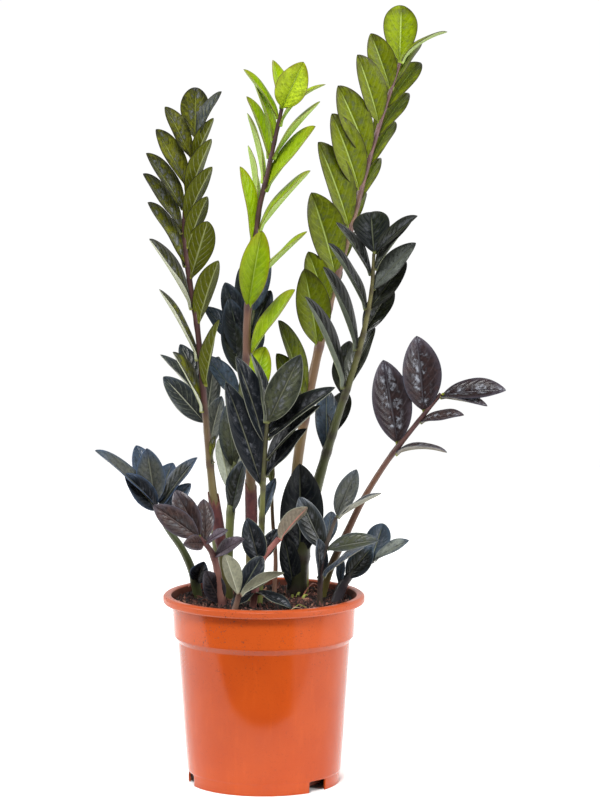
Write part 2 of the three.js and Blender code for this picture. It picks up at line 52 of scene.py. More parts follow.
# ---- pot, as in the frame ----
POT_HEIGHT = 198
RIM_RADIUS = 105
RIM_WIDTH = 8.8
RIM_THICKNESS = 8.4
RIM_CROWN = 2.4
RIM_EDGE = 1.4
COLLAR_TOP_RADIUS = 95.5
COLLAR_BOTTOM_RADIUS = 94
COLLAR_BOTTOM = 155
STEP_HEIGHT = 5.6
STEP_SHIFT = 1.2
BODY_TOP_RADIUS = 89.8
BODY_BOTTOM_RADIUS = 80.2
BODY_SIDE = [(82.8, 46), (86.3, 99)]
BODY_ROUNDING = 8
FOOT_RADIUS = 79.1
FOOT_FLARE = 0.4
WALL = 1.7
FLOOR_UNDERSIDE = 13
FLOOR_THICKNESS = 2
PAD_RADIUS = 15
PAD_SLOPE = 5
RIB_RADIUS = 66
RIB_WIDTH = 1.5
RIB_BOTTOM = 4
RIB_ROUNDING = 0.3
DRAIN_RADIUS = 6
DRAIN_CIRCLE = 45
DRAIN_COUNT = 6
DRAIN_SIDES = 32
NOTCH_WIDTH = 23
NOTCH_HEIGHT = 12
NOTCH_REACH = 12
NOTCH_ANGLES = (45, -75, 165)
NOTCH_ROUNDING = 2.5
POT_SIDES = 192
POT_GLOSS = 1.37
ARC_STEPS = 5
RIM_INNER = RIM_RADIUS - RIM_WIDTH
RIM_UNDERSIDE = POT_HEIGHT - RIM_THICKNESS
STEP_FOOT = COLLAR_BOTTOM - STEP_HEIGHT
FLOOR_TOP = FLOOR_UNDERSIDE + FLOOR_THICKNESS


# ---- soil ----
SOIL_TOP = 188
SOIL_RADIUS = 92.4
SOIL_GAP = 0.6
SOIL_SHIFT = 1.5
BED_BOTTOM = FLOOR_TOP + 0.3
SOIL_MOUND = 1.5
SOIL_BANK = 3.5
SOIL_RELIEF = 2.2
SOIL_LUMP = 17
SOIL_PIT = 5.5
BED_RINGS = 56
BED_SIDES = 160
CRUMB_COUNT = 3600
CRUMB_SEED = 31
SMALL_CRUMBS = 0.82
FIBRE_COUNT = 420
FIBRE_SEED = 47
FIBRE_STEPS = 4
# How crumbs and fibres crowd toward the pot's wall: 0.5 is even, less is nearer the wall.
CROWDING = 0.42
# Each root's finish, radius and middle line.
ROOTS = [
    ("green", 1.5, [(29, 22, 189), (31, 42, 193), (32, 62, 196), (34, 80, 195)]),
    ("green", 1.9, [(34, 24, 189), (36, 28, 193), (38, 32, 195)]),
    ("green", 1.7, [(40, 12, 189), (42, 15, 193), (45, 19, 193)]),
    ("red", 0.8, [(38, 10, 189), (44, 22, 197), (50, 40, 201), (55, 60, 197), (58, 74, 190)]),
    ("pale", 0.9, [(74, 46, 189), (79, 50, 195), (84, 54, 198), (88, 50, 193)]),
    ("pale", 0.7, [(78, 40, 189), (83, 47, 195), (87, 44, 192)]),
    ("red", 0.6, [(80, 36, 189), (82, 38, 199), (84, 40, 210)]),
    ("pink", 0.7, [(-72, 40, 189), (-74, 44, 197), (-77, 50, 202), (-80, 46, 197)]),
    ("pale", 0.5, [(28, -56, 190), (32, -60, 194), (38, -58, 193), (44, -62, 190)]),
    ("green", 0.5, [(30, -50, 190), (36, -50, 195), (42, -54, 194), (46, -52, 190)]),
]


# ---- stems and leaves, as in the frame ----
BURIED = 21.7
ROOT_OFFSET = 0.35
ROOT_SHARE = 0.7
LEAF_THICKNESS = 0.9
LEAF_RATIO = 42
# Leaves are drawn a little short, so that they stay inside the box of the frame's leaves.
LEAF_SHARE = 0.996
LEAF_FOLD = 22
LEAF_CURL = 10
SHEATH_RADIUS = 6.4


# ---- the finer shape of leaves and stems ----
PATH_STEPS = 40
PATH_NUDGE = 0.003
FROND_SEED = 100
LEAF_RINGS = 32
LEAF_STATIONS = (0, 0.06, 0.16, 0.32, 0.5, 0.68, 0.84, 0.95, 1)
BLADE_START = 0.035
LEAF_TWIST = 10
HALF_CROWN = 0.8
RIM_WAVE = 1.1
RIB_GROOVE = 0.5
RIB_RIDGE = 0.5
VEIN_PAIRS = 8
VEIN_SLANT = 2.1
STEM_SIDES = 16
STEM_STEP = 4
STEM_LUMP = 9
STEM_RELIEF = 0.04
JOINT_REACH = 5
JOINT_SWELL = 0.14
STEM_FADE = 0.62
SHEATH_RINGS = 18
SHEATH_SIDES = 32
SHEATH_WALL = 0.6


# ---- studio ----
CAMERA_PLACE = (37.6, -3800, 868)
CAMERA_PITCH = 7
CAMERA_LENS = 166.2
FLOOR_RADIUS = 1360
FLOOR_IN_FRONT = 290
FLOOR_GLOW = 0.58
FRONT_LIGHT = 0.25
BACK_LIGHT = 1
OVERHEAD_LIGHT = 0.15
OVERHEAD_REACH = (0.35, 0.8)
SEEN_LIGHT = 1.02
DARK_SIDE = -22
DARK_REACH = (-0.5, -0.36)
# Each lamp's name, place, watts and size. Places are in metres, and all lamps face AIM.
AIM = (0, 0, 0.4)
LAMPS = [
    ("front_softbox", (-0.5, -2.4, 2.6), 110, (1, 1)),
    ("right_softbox", (2.2, -1.3, 1.1), 42, (1, 1.6)),
    ("left_softbox", (-2.2, -0.2, 1.3), 34, (1, 1.6)),
]


# ---- the fronds, as in the frame ----
def row(at, lean, front, turn, length, ratio=LEAF_RATIO, curl=LEAF_CURL, shade="-"):
    """A row of as many leaves as its longest list has values.

    "at" is the percentage of the stem that they stand at, "lean" a leaf's angle from plumb,
    "front" its angle toward the viewer, and "turn" its roll: 0 shows its upper face, 90 its
    edge, 180 its underside. "ratio" is the width as a percentage of the length. "shade" names
    the colours of single leaves, with a dash for none, and the last one goes on to the end.
    """
    shape = dict(at=at, lean=lean, front=front, turn=turn, length=length, ratio=ratio, curl=curl)
    count = max(len(value) if isinstance(value, list) else 1 for value in shape.values())
    shades = shade.split()
    return shape, shades + shades[-1:] * (count - len(shades))


def frond(name, look, girth, colours, route, *rows, fade=STEM_FADE, sheath=()):
    """Notes one frond.

    "route" is the stem's middle line from the soil up, and "girth" its radius along it.
    "colours" are those of its foot, middle, top and dark marks, and "fade" is where the middle
    one ends. "sheath" is the percentage of the stem where a sheath begins and ends.
    """
    FRONDS[name] = SimpleNamespace(
        look=look, girth=girth, colours=colours, route=route, rows=rows, fade=fade, sheath=sheath
    )


FRONDS = {}
frond(
    "frond_tall_left", "olive_leaf", [5.4, 4.5, 3.3, 3, 2.3, 1.5],
    [(92, 94, 46), (112, 100, 64), (86, 58, 56), (64, 42, 44)],
    [
        (-36, 22, 181), (-45, 20, 246), (-54, 14, 310), (-63, 8, 412), (-69, 2, 479), (-79, -2, 545),
        (-81, -6, 596), (-70, -10, 672),
    ],
    row(100, 0, -36, 0, 64, 50),
    row(
        [96, 90, 85, 80, 73, 64, 53, 42], [-27, -28, -33, -33, -30, -31, -28, -26], [5, 15],
        [40, 46, 53, 68, 67, 84, 80, 80], [60, 68, 72, 77, 81, 90, 90, 76],
        [42, 42, 42, 42, 42, 42, 27, 42],
    ),
    row(
        [100, 94.5, 87, 82.5, 77, 70.5, 61, 47.5], [29, 25, 22, 26, 22, 17, 18, 13], [12, 14],
        [58, 125, 132, 140, 145, 172, 145, 120], [58, 56, 72, 67, 61, 66, 73, 77],
        [42, 36, 37, 38, 40, 48, 40, 36], shade="slate olive",
    ),
    row(31, 10, 20, 60, 34, 36),
    fade=0.3, sheath=[16, 27],
)
frond(
    "frond_tall_centre", "lime_leaf", [6, 5, 4.8, 3.8, 2.8, 1.8],
    [(98, 98, 44), (112, 82, 68), (84, 56, 60), (62, 42, 46)],
    [
        (-14, 8, 181), (-13, 2, 270), (-14, -4, 335), (-17, -12, 442), (-16, -16, 498), (-6, -22, 590),
        (4, -25, 636), (19, -30, 704),
    ],
    row(100, 24, 42, 0, 73, 47, shade="lemon"),
    row(100, -10, -35, 52, 60),
    row(
        [96.5, 90, 83.5, 75.5, 65, 50.5], [48, 40, 38, 41, 46, 34], [10, 5], [88, 88, 71, 81, 88, 70],
        [68, 79, 87, 85, 81, 87], [20, 30, 40, 38, 26, 40], curl=[50, 12, 8, 8, 5, 8],
    ),
    row(
        [98, 93.5, 90, 85, 78.5, 72.5], [-36, -19, -21, -14, -8, -9], [-10, -12, -14, -16, -20, 12],
        [74, 71, 70, 84, 86, 60], [63, 65, 70, 77, 77, 87], [38, 42, 40, 32, 32, 34],
    ),
    row([60.5, 41.5], [10, 15], [28, 5], 12, [96, 62], [34, 52]),
    sheath=[19, 28],
)
frond(
    "frond_tall_right", "green_leaf", [5.6, 5.4, 5, 4, 2.8, 1.6],
    [(100, 102, 42), (118, 92, 66), (108, 74, 70), (78, 52, 54)],
    [
        (41, 60, 181), (41, 60, 240), (33, 57, 304), (46, 56, 395), (69, 57, 498), (91, 62, 577),
        (114, 70, 661), (142, 80, 747),
    ],
    row(100, 3, -40, 0, 78, 50, shade="apple"),
    row(100, 57, -10, 86, 62, 30, curl=45),
    row(
        [95, 91, 85.7, 80, 73.5, 68, 61, 54], [33, 38, 37, 32, 28, 23, 23, 18], -42,
        [55, 40, 40, 45, 45, 50, 50, 50], [80, 84, 78, 76, 70, 60, 56, 56],
    ),
    row(
        [95, 88.5, 82, 76, 69, 60, 54, 47, 36, 33.5],
        [-20, -18, -23, -20, -20, -16, -18, -10, -17, -21], [20, 24],
        [12, 34, 34, 34, 40, 30, 22, 8, 60, 45], [67, 82, 90, 94, 106, 102, 71, 94, 108, 86],
        [46, 46, 46, 45, 42, 44, 44, 42, 34, 40],
    ),
)
frond(
    "frond_dark_right", "black_green_leaf", [10.5, 7.6, 5, 3.8, 2.6, 1.5],
    [(26, 28, 16), (70, 74, 40), (106, 102, 62), (44, 32, 32)],
    [
        (32, 42, 181), (41, 29, 244), (54, 15, 304), (74, -3, 376), (97, -20, 450), (110, -32, 512),
        (113, -42, 557),
    ],
    row(100, -3, -60, 0, 76, 54, shade="ink"),
    row(
        [100, 95.5, 90, 84.5, 78, 62, 49], [48, 37, 42, 38, 34, 25, 20], [10, 5, 5, -10, -35, -15, -45],
        [60, 72, 44, 30, 20, 48, 10], [60, 70, 67, 64, 66, 72, 60], shade="- ash silver - - ash -",
    ),
    row([94, 84.5, 73, 62], [-34, -30, -22, -23], [5, 12], [72, 78, 80, 84], [67, 82, 98, 110]),
    row(
        [60, 44, 13.5, 4], [6, 0, 0, -10], [-40, -14, 22, 25], [40, 5, 12, 15], [70, 66, 113, 70],
        [42, 42, 45, 34], shade="- steel ink",
    ),
)
frond(
    "frond_far_right", "purple_leaf", [4.6, 4, 3.2, 2.8, 1.9],
    [(84, 84, 34), (98, 68, 52), (92, 64, 62), (58, 38, 40)],
    [
        (58, 24, 181), (68, 17, 218), (87, 8, 262), (104, 2, 298), (130, -6, 341), (164, -14, 386),
        (183, -18, 410),
    ],
    row(100, 85, 12, 42, 68),
    row([90, 73.5], [-6, -10], 5, 5, [82, 92], [54, 48]),
    row([99, 86, 70], [99, 79, 88], [25, 20, 10], [78, 66, 88], [54, 50, 57], curl=[10, 10, 45]),
)
frond(
    "frond_behind_centre", "deep_leaf", [5, 4.4, 3.6, 1.6],
    [(100, 108, 52), (98, 104, 56), (84, 88, 56), (56, 58, 38)],
    [(-38, 38, 181), (-37, 45, 250), (-32, 53, 318), (-25, 62, 394), (-19, 70, 451), (-11, 76, 485)],
    row(100, 11, -12, 12, 69, shade="steel"),
    row(
        [93, 88.5, 86, 83.5, 78, 70], [-6, -18, -42, -13, -15, -38], [-16, -2, -12, 12, 6, -4],
        [20, 15, 45, 10, 10, 30], [72, 70, 65, 70, 67, 58], shade="- ink steel ink soot steel",
    ),
    row([90, 76, 62, 40], [25, 22, 25, 22], [-15, -25, -25, 10], [20, 35, 40, 110], [60, 62, 62, 48]),
    row([46.5, 38, 31], [-5, -13, 14], [12, -8, 14], [18, 155, 40], [72, 58, 63], shade="moss - soot"),
)
frond(
    "frond_behind_left", "grey_leaf", [4.2, 3.6, 2.6, 1.5],
    [(96, 100, 56), (96, 98, 60), (90, 90, 66), (56, 54, 40)],
    [(-45, 50, 181), (-53, 61, 255), (-58, 73, 318), (-61, 82, 359), (-65, 89, 391)],
    row(100, -23, -15, 40, 65),
    row([98, 88], [-42, -41], [-8, 8], [72, 18], [70, 69]),
    row([98.5, 90, 76], [18, 8, 14], [-20, -8, 5], [12, 10, 25], [53, 58, 58], shade="silver ash"),
)
frond(
    "frond_front_centre", "navy_leaf", [4.2, 3.4, 2.7, 1.8],
    [(104, 110, 54), (106, 108, 58), (98, 98, 62), (60, 54, 42)],
    [(-6, -12, 181), (-3, -20, 237), (-1, -40, 303), (2, -57, 357), (4, -66, 385)],
    row(100, 25, 10, 12, 82, 43, shade="moss"),
    row(
        [100, 89, 66], [-13, -18, -18], [-10, 5, 15], [80, 42, 20], [75, 97, 124], [40, 34, 27],
        shade="- ink",
    ),
    row(
        [94.5, 91.5, 80.5, 71.5, 49], [40, 52, 44, 40, 19], [-25, 5, 10, 12, -20], [20, 64, 72, 62, 40],
        [36, 90, 83, 70, 45], shade="ink - ink ink steel",
    ),
)
frond(
    "frond_far_left", "blue_leaf", [5, 4.4, 3.4, 2.2],
    [(54, 60, 34), (70, 78, 42), (72, 82, 60), (38, 40, 32)],
    [(-68, 30, 181), (-75, 24, 216), (-86, 16, 243), (-102, 6, 268), (-113, -4, 294)],
    row(100, -8, 14, 0, 62, 52, shade="ash"),
    row(
        [100, 98, 93], [-43, -20, -37], [32, -22, 30], [72, 20, 30], [102, 68, 63], [30, 44, 42],
        shade="ash steel ink",
    ),
    row(
        [98.5, 94, 87, 20], [23, 37, 42, 20], [-38, 0, 0, 40], [24, 52, 30, 5], [54, 68, 46, 36],
        [46, 36, 44, 60], shade="steel soot steel ink",
    ),
)
frond(
    "frond_front_left", "bronze_leaf", [4.5, 4.2, 3.5, 2],
    [(150, 104, 96), (142, 100, 90), (110, 80, 76), (92, 56, 56)],
    [(-42, -20, 181), (-46, -31, 215), (-52, -43, 246), (-65, -56, 266)],
    row(100, -53, 10, 5, 60, 46),
    row(
        [100, 92, 13], [-28, -80, -23], [-8, 55, 20], [5, 30, 8], [55, 36, 42], [50, 50, 60],
        shade="- - ink",
    ),
    row([91, 90, 70], [-2, 55, 56], [-30, 30, 30], [5, 60, 50], [48, 33, 44], 44, shade="- lilac"),
)
frond(
    "frond_low_front", "pale_leaf", [3.8, 3, 2.6],
    [(96, 70, 60), (100, 74, 62), (110, 84, 70), (62, 40, 38)],
    [(-33, -52, 181), (-28, -54, 196), (-25, -56, 207)],
    row(100, [-17, 62, 31], [12, 10, -10], [165, 132, 10], [46, 53, 46], [46, 42, 50], shade="- - ink"),
)
frond(
    "frond_low_centre", "rose_rib_leaf", [4, 3.6, 3.2, 3.1, 2.8],
    [(150, 100, 92), (156, 104, 96), (160, 104, 96), (100, 56, 58)],
    [(-12, -30, 181), (-9, -34, 206), (-3, -38, 236), (6, -41, 251), (16, -44, 263)],
    row(100, 40, 12, 130, 47, 58),
    row(
        [67, 62, 29, 28], [26, -14, 111, -121], [-6, 15, 30, 18], [20, 10, 70, 50], [36, 54, 45, 29],
        [50, 50, 44, 56], shade="ink - ink",
    ),
)
frond(
    "young_shoot", "shoot_leaf", [2.4, 2.2, 1.6],
    [(146, 106, 94), (140, 104, 86), (124, 104, 72), (98, 68, 64)],
    [(10, 28, 181), (12, 26, 229), (9, 22, 272), (8, 20, 307)],
    row(100, 4, 5, 50, 34, 30),
)
frond(
    "frond_right_front", "slate_leaf", [3, 2.7, 2.3, 1.7],
    [(70, 66, 38), (66, 52, 50), (80, 70, 62), (30, 22, 24)],
    [(58, -14, 181), (59, -22, 219), (64, -30, 251), (75, -34, 284)],
    row(100, 22, 5, 12, 55, shade="ash"),
    row(
        [100, 66.5, 37.5], [60, 78, 53], [10, 15, 15], [96, 50, 100], [54, 58, 59],
        shade="- moss steel",
    ),
    row(
        [65, 69, 33.5], [-25, 11, -3], [-5, -40, 20], [0, 15, 50], [61, 43, 50], [46, 44, 40],
        shade="soot steel ink",
    ),
)
frond(
    "frond_right_low", "blue_green_leaf", [7, 5.2, 3.2, 2],
    [(30, 28, 34), (48, 44, 48), (80, 82, 66), (20, 18, 24)],
    [(73, 2, 181), (83, -2, 209), (100, -5, 227), (114, -9, 234)],
    row(100, 59, 10, 60, 44, shade="silver"),
    row(
        [95.5, 52, 39.5], [21, 38, 3], [-35, 8, 0], [10, 12, 45], [47, 44, 30], [60, 58, 44],
        shade="steel soot steel",
    ),
)


# ---- small maths ----
def mix(low, high, share):
    return low + (high - low) * share


def ease(value, low, high):
    """0 below low, 1 above high, and a smooth rise between them."""
    share = np.clip((value - low) / (high - low), 0, 1)
    return share * share * (3 - 2 * share)


def unit(vector):
    return vector / np.linalg.norm(vector)


def spread(profile, share):
    """The value at share (0 to 1) of a number, or of a list spread evenly over 0 to 1."""
    if not isinstance(profile, list):
        return profile
    return float(np.interp(share * (len(profile) - 1), range(len(profile)), profile))


class Path:
    """A smooth line through knots. A share of its length gives a place on it."""

    def __init__(self, knots):
        knots = np.array(knots, float)
        padded = np.vstack([2 * knots[0] - knots[1], knots, 2 * knots[-1] - knots[-2]])
        t = np.linspace(0, 1, PATH_STEPS, endpoint=False)[:, None]
        runs = []
        for a, b, c, d in zip(padded, padded[1:], padded[2:], padded[3:]):
            bend = 2 * a - 5 * b + 4 * c - d
            twist = 3 * b - a - 3 * c + d
            runs.append(b + 0.5 * ((c - a) * t + bend * t**2 + twist * t**3))
        self.points = np.vstack([*runs, knots[-1]])
        steps = np.linalg.norm(np.diff(self.points, axis=0), axis=1)
        self.places = np.concatenate([[0], np.cumsum(steps)])
        self.length = self.places[-1]

    def at(self, share):
        place = np.asarray(share) * self.length
        return np.stack([np.interp(place, self.places, axis) for axis in self.points.T], -1)

    def direction(self, share):
        ahead, behind = min(share + PATH_NUDGE, 1), max(share - PATH_NUDGE, 0)
        return unit(self.at(ahead) - self.at(behind))

    def square(self, share, aside=(0, 1, 0)):
        """Two unit vectors square to the path and to each other."""
        ahead = self.direction(share)
        first = unit(np.cross(ahead, aside))
        return first, np.cross(ahead, first)


def linked(name, data):
    """A new object in the scene."""
    thing = bpy.data.objects.new(name, data)
    bpy.context.scene.collection.objects.link(thing)
    return thing


def meshed(name, shape):
    """The mesh of a bmesh, which is freed."""
    mesh = bpy.data.meshes.new(name)
    shape.to_mesh(mesh)
    shape.free()
    return mesh


class Gathered:
    """The points, faces and point values of one piece, gathered part by part."""

    def __init__(self):
        self.points = []
        self.faces = []
        self.values = {}
        self.count = 0

    def add(self, points, faces, **values):
        """Takes in one more part, and gives back the whole."""
        self.points.append(points)
        self.faces += [[i + self.count for i in face] for face in faces]
        self.count += len(points)
        for key, value in values.items():
            self.values.setdefault(key, []).append(np.broadcast_to(value, len(points)))
        return self

    def piece(self, name, material, slot, node, crease=40):
        """The smooth, coloured piece, which stands for a node of the frame."""
        mesh = bpy.data.meshes.new(name)
        mesh.from_pydata((np.vstack(self.points) * MM).tolist(), [], self.faces)
        for key, parts in self.values.items():
            field = mesh.attributes.new(key, "FLOAT", "POINT")
            field.data.foreach_set("value", np.concatenate(parts).astype(np.float32))
        mesh.materials.append(material)
        mesh.polygons.foreach_set("use_smooth", [True] * len(mesh.polygons))
        mesh.set_sharp_from_angle(angle=np.radians(crease))
        piece = linked(name, mesh)
        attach(piece, BODY)
        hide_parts(node)
        return piece


def ringed(rings, size):
    """Faces of a tube of point rings, closed by one point before them and one after."""
    faces = []
    for k in range(size):
        after = (k + 1) % size
        faces.append([0, 1 + after, 1 + k])
        for ring in range(rings - 1):
            a = 1 + ring * size
            faces.append([a + k, a + after, a + size + after, a + size + k])
    last = 1 + (rings - 1) * size
    tip = last + size
    faces += [[last + k, last + (k + 1) % size, tip] for k in range(size)]
    return faces


def tube(path, radius_at, sides, rings, aside=(0, 1, 0)):
    """Points, faces and shares of the length (0 to 1) of a round rod on a path."""
    shares = np.linspace(0, 1, rings)
    angles = np.linspace(0, 2 * np.pi, sides, endpoint=False)[:, None]
    points = [path.at(0)]
    for share in shares:
        first, second = path.square(share, aside)
        around = np.cos(angles) * first + np.sin(angles) * second
        points.append(path.at(share) + radius_at(share) * around)
    points.append(path.at(1))
    along = np.concatenate([[0], np.repeat(shares, sides), [1]])
    return np.vstack(points), ringed(rings, sides), along


# ---- shader sums ----
def sums(operation, flipped=False):
    """An operator of Wire, which adds a Math node."""
    def made(wire, *others):
        values = [*others, wire] if flipped else [wire, *others]
        return wire.nodes.node("Math", {"operation": operation}, dict(enumerate(values)))
    return made


class Wire:
    """One output of a node. Arithmetic on it adds nodes."""

    def __init__(self, nodes, socket):
        self.nodes = nodes
        self.socket = socket

    __add__ = __radd__ = sums("ADD")
    __sub__ = sums("SUBTRACT")
    __rsub__ = sums("SUBTRACT", flipped=True)
    __mul__ = __rmul__ = sums("MULTIPLY")
    __pow__ = sums("POWER")
    __abs__ = sums("ABSOLUTE")
    fraction = sums("FRACT")

    def axis(self, letter):
        return self.nodes.node("SeparateXYZ", {}, {0: self}, letter)

    def size(self):
        return self.nodes.node("VectorMath", {"operation": "LENGTH"}, {0: self}, "Value")

    def rise(self, low, high, start=0, end=1):
        """Start where the value is below low, end above high, and smooth between them."""
        span = {"Value": self, "From Min": low, "From Max": high, "To Min": start, "To Max": end}
        return self.nodes.node("MapRange", {"interpolation_type": "SMOOTHSTEP"}, span)


def paint(colour):
    """A wire as it is, and a screen colour (0 to 255) as the linear colour of a socket."""
    if isinstance(colour, Wire):
        return colour
    parts = np.array(colour) / 255
    linear = np.where(parts <= 0.04045, parts / 12.92, ((parts + 0.055) / 1.055) ** 2.4)
    return (*linear.tolist(), 1)


class Nodes:
    """The nodes of a material or a world. Each is made by node(), or by a helper."""

    def __init__(self, owner):
        owner.use_nodes = True
        self.owner = owner
        self.tree = owner.node_tree
        self.tree.nodes.clear()

    def node(self, kind, settings, sockets, output=0):
        made = self.tree.nodes.new("ShaderNode" + kind)
        for key, value in settings.items():
            setattr(made, key, value)
        for key, value in sockets.items():
            if isinstance(value, Wire):
                self.tree.links.new(value.socket, made.inputs[key])
            else:
                made.inputs[key].default_value = value
        return Wire(self, made.outputs[output]) if made.outputs else made

    def field(self, name):
        """A point value of the mesh."""
        return self.node("Attribute", {"attribute_name": name}, {}, "Fac")

    def place(self, squeeze=(1, 1, 1), shift=(0, 0, 0)):
        """The point's place in metres, multiplied and then shifted."""
        sockets = {0: self.node("TexCoord", {}, {}, "Object"), 1: squeeze, 2: shift}
        return self.node("VectorMath", {"operation": "MULTIPLY_ADD"}, sockets)

    def noise(self, size, detail=2, rough=0.5, squeeze=(1, 1, 1)):
        """Cloudy noise from 0 to 1, whose lumps are about size millimetres wide."""
        sockets = {"Vector": self.place(squeeze), "Scale": 1 / (size * MM)}
        return self.node("TexNoise", {}, sockets | {"Detail": detail, "Roughness": rough})

    def ramp(self, value, stops, blend="LINEAR"):
        """The colour at value, from (place, colour) stops."""
        colour = self.node("ValToRGB", {}, {"Fac": value})
        ramp = colour.socket.node.color_ramp
        ramp.interpolation = blend
        while len(ramp.elements) < len(stops):
            ramp.elements.new(1)
        for element, (place, stop) in zip(ramp.elements, stops):
            element.position = place
            element.color = paint(stop)
        return colour

    def palette(self, value, colours):
        """One of the colours: value goes through them from 0 to 1 in even steps."""
        steps = [(i / len(colours), colour) for i, colour in enumerate(colours)]
        return self.ramp(value, steps, "CONSTANT")

    def mix(self, share, low, high):
        sockets = {0: share, 6: paint(low), 7: paint(high)}
        return self.node("Mix", {"data_type": "RGBA"}, sockets, 2)

    def coats(self, skin, *coats):
        """The skin under (share, colour) coats, each laid over the ones before it."""
        for share, colour in coats:
            skin = self.mix(share, skin, colour)
        return skin

    def surface(self, skin, rough, relief=None, **constants):
        """The finished material. "relief" is a height of 0 to 1 and its depth in millimetres."""
        sockets = {"Base Color": skin, "Roughness": rough}
        if relief:
            height, depth = relief
            sockets["Normal"] = self.node("Bump", {}, {"Height": height, "Distance": depth * MM})
        sockets |= {key.replace("_", " "): value for key, value in constants.items()}
        shader = self.node("BsdfPrincipled", {}, sockets)
        self.node("OutputMaterial", {}, {"Surface": shader})
        return self.owner


def new_finish(name):
    return Nodes(bpy.data.materials.new(name))


# ---- leaf colours ----
def leaf_look(name, slot, quilt, form, painted_highlight, gloss, *colours, clouds=(0.6, 1), half_sheen_and_shade=0):
    """Notes one look of leaves.

    "quilt" is how far the skin swells between the side veins, "form" how blunt the base and the
    tip are (0.5 is round, 1 is pointed), "painted_highlight" how strong the pale highlights
    painted on the swells are, and "gloss" its index of refraction. "clouds" are the noise levels
    between which the dark clouds come up, and "half_sheen_and_shade" is how far the left half is
    painted paler, as a sheen, and the right half darker, as shade.
    """
    LEAF_LOOKS[name] = SimpleNamespace(
        slot=slot, quilt=quilt, form=form, painted_highlight=painted_highlight, gloss=gloss, clouds=clouds, half_sheen_and_shade=half_sheen_and_shade,
        **dict(zip(LOOK_COLOURS, colours)),
    )


# The order of a look's colours: the upper face, its darker clouds, the tint toward tip and
# margin, the side veins, the midrib, the thin margin, the underside, its midrib, the short stub.
LOOK_COLOURS = ("upper", "cloud", "tint", "vein", "rib", "margin", "under", "under_rib", "stub")
LEAF_LOOKS = {}
leaf_look(
    "olive_leaf", "olive_leaf", 0.3, (0.8, 0.72), 0.4, 1.28, (104, 107, 20), (44, 46, 16), (34, 34, 30),
    (136, 140, 76), (126, 132, 74), (30, 26, 24), (190, 194, 166), (150, 156, 104), (150, 152, 70),
)
leaf_look(
    "lime_leaf", "lime_leaf", 0.25, (0.78, 0.68), 0, 1.24, (138, 167, 4), (104, 134, 4), (132, 130, 18),
    (196, 210, 76), (186, 210, 98), (118, 104, 52), (174, 198, 106), (160, 190, 80), (150, 180, 50),
    clouds=(0.7, 1.3), half_sheen_and_shade=0.12,
)
leaf_look(
    "green_leaf", "green_leaf", 0.3, (0.8, 0.72), 0.1, 1.25, (108, 120, 5), (60, 70, 5), (54, 50, 24),
    (158, 168, 84), (178, 196, 116), (46, 36, 30), (166, 184, 118), (150, 172, 92), (150, 170, 66),
    clouds=(0.7, 1.3), half_sheen_and_shade=0.1,
)
leaf_look(
    "black_green_leaf", "dark_leaf", 0.35, (0.76, 0.74), 0.15, 1.28, (36, 38, 27), (14, 17, 14),
    (46, 48, 48), (84, 90, 82), (100, 104, 84), (34, 32, 30), (130, 138, 124), (150, 156, 120),
    (116, 120, 70),
)
leaf_look(
    "purple_leaf", "purple_leaf", 0.75, (0.8, 0.78), 0.85, 1.34, (62, 46, 45), (34, 25, 27),
    (82, 76, 86), (92, 84, 88), (78, 76, 82), (56, 60, 72), (150, 144, 134), (150, 150, 120),
    (140, 150, 46),
)
leaf_look(
    "deep_leaf", "dark_leaf", 0.35, (0.76, 0.74), 0.2, 1.28, (30, 33, 28), (13, 15, 13), (56, 66, 78),
    (70, 78, 74), (92, 100, 84), (30, 36, 42), (160, 166, 148), (170, 174, 140), (100, 108, 60),
)
leaf_look(
    "grey_leaf", "grey_leaf", 0.3, (0.76, 0.74), 0.1, 1.36, (74, 80, 74), (36, 41, 40), (60, 70, 82),
    (156, 160, 142), (196, 198, 178), (150, 152, 138), (176, 180, 162), (196, 198, 176), (120, 124, 80),
)
leaf_look(
    "navy_leaf", "navy_leaf", 0.4, (0.78, 0.86), 0.3, 1.3, (24, 27, 30), (10, 12, 14), (30, 36, 40),
    (56, 62, 68), (122, 124, 104), (124, 126, 112), (118, 124, 110), (150, 154, 124), (130, 134, 84),
)
leaf_look(
    "blue_leaf", "navy_leaf", 0.4, (0.76, 0.78), 0.2, 1.32, (50, 57, 62), (24, 28, 32), (66, 82, 104),
    (84, 92, 100), (132, 134, 118), (66, 84, 116), (142, 144, 128), (176, 176, 150), (120, 124, 80),
)
leaf_look(
    "bronze_leaf", "bronze_leaf", 0.35, (0.76, 0.78), 0.15, 1.34, (76, 58, 54), (40, 29, 28),
    (88, 82, 90), (108, 92, 90), (96, 84, 82), (76, 76, 88), (118, 108, 110), (140, 124, 110),
    (112, 112, 44),
)
leaf_look(
    "pale_leaf", "pale_leaf", 0.35, (0.76, 0.7), 0.1, 1.34, (38, 46, 56), (22, 28, 36), (52, 60, 66),
    (92, 100, 104), (128, 132, 112), (140, 142, 124), (146, 146, 124), (176, 176, 156), (116, 92, 74),
)
leaf_look(
    "rose_rib_leaf", "navy_leaf", 0.4, (0.76, 0.8), 0.3, 1.32, (24, 28, 32), (12, 15, 18), (44, 52, 60),
    (70, 78, 84), (96, 96, 84), (132, 134, 116), (130, 120, 104), (186, 116, 106), (180, 110, 100),
)
leaf_look(
    "shoot_leaf", "young_shoot", 0.2, (0.76, 0.86), 0, 1.32, (120, 128, 66), (96, 98, 60),
    (120, 96, 84), (150, 156, 100), (156, 156, 110), (110, 84, 76), (150, 154, 110), (160, 150, 120),
    (160, 130, 110),
)
leaf_look(
    "slate_leaf", "grey_leaf", 0.4, (0.76, 0.76), 0.3, 1.36, (60, 63, 64), (30, 32, 34), (72, 80, 90),
    (96, 100, 102), (126, 128, 118), (120, 124, 124), (170, 170, 156), (182, 180, 160), (104, 104, 66),
)
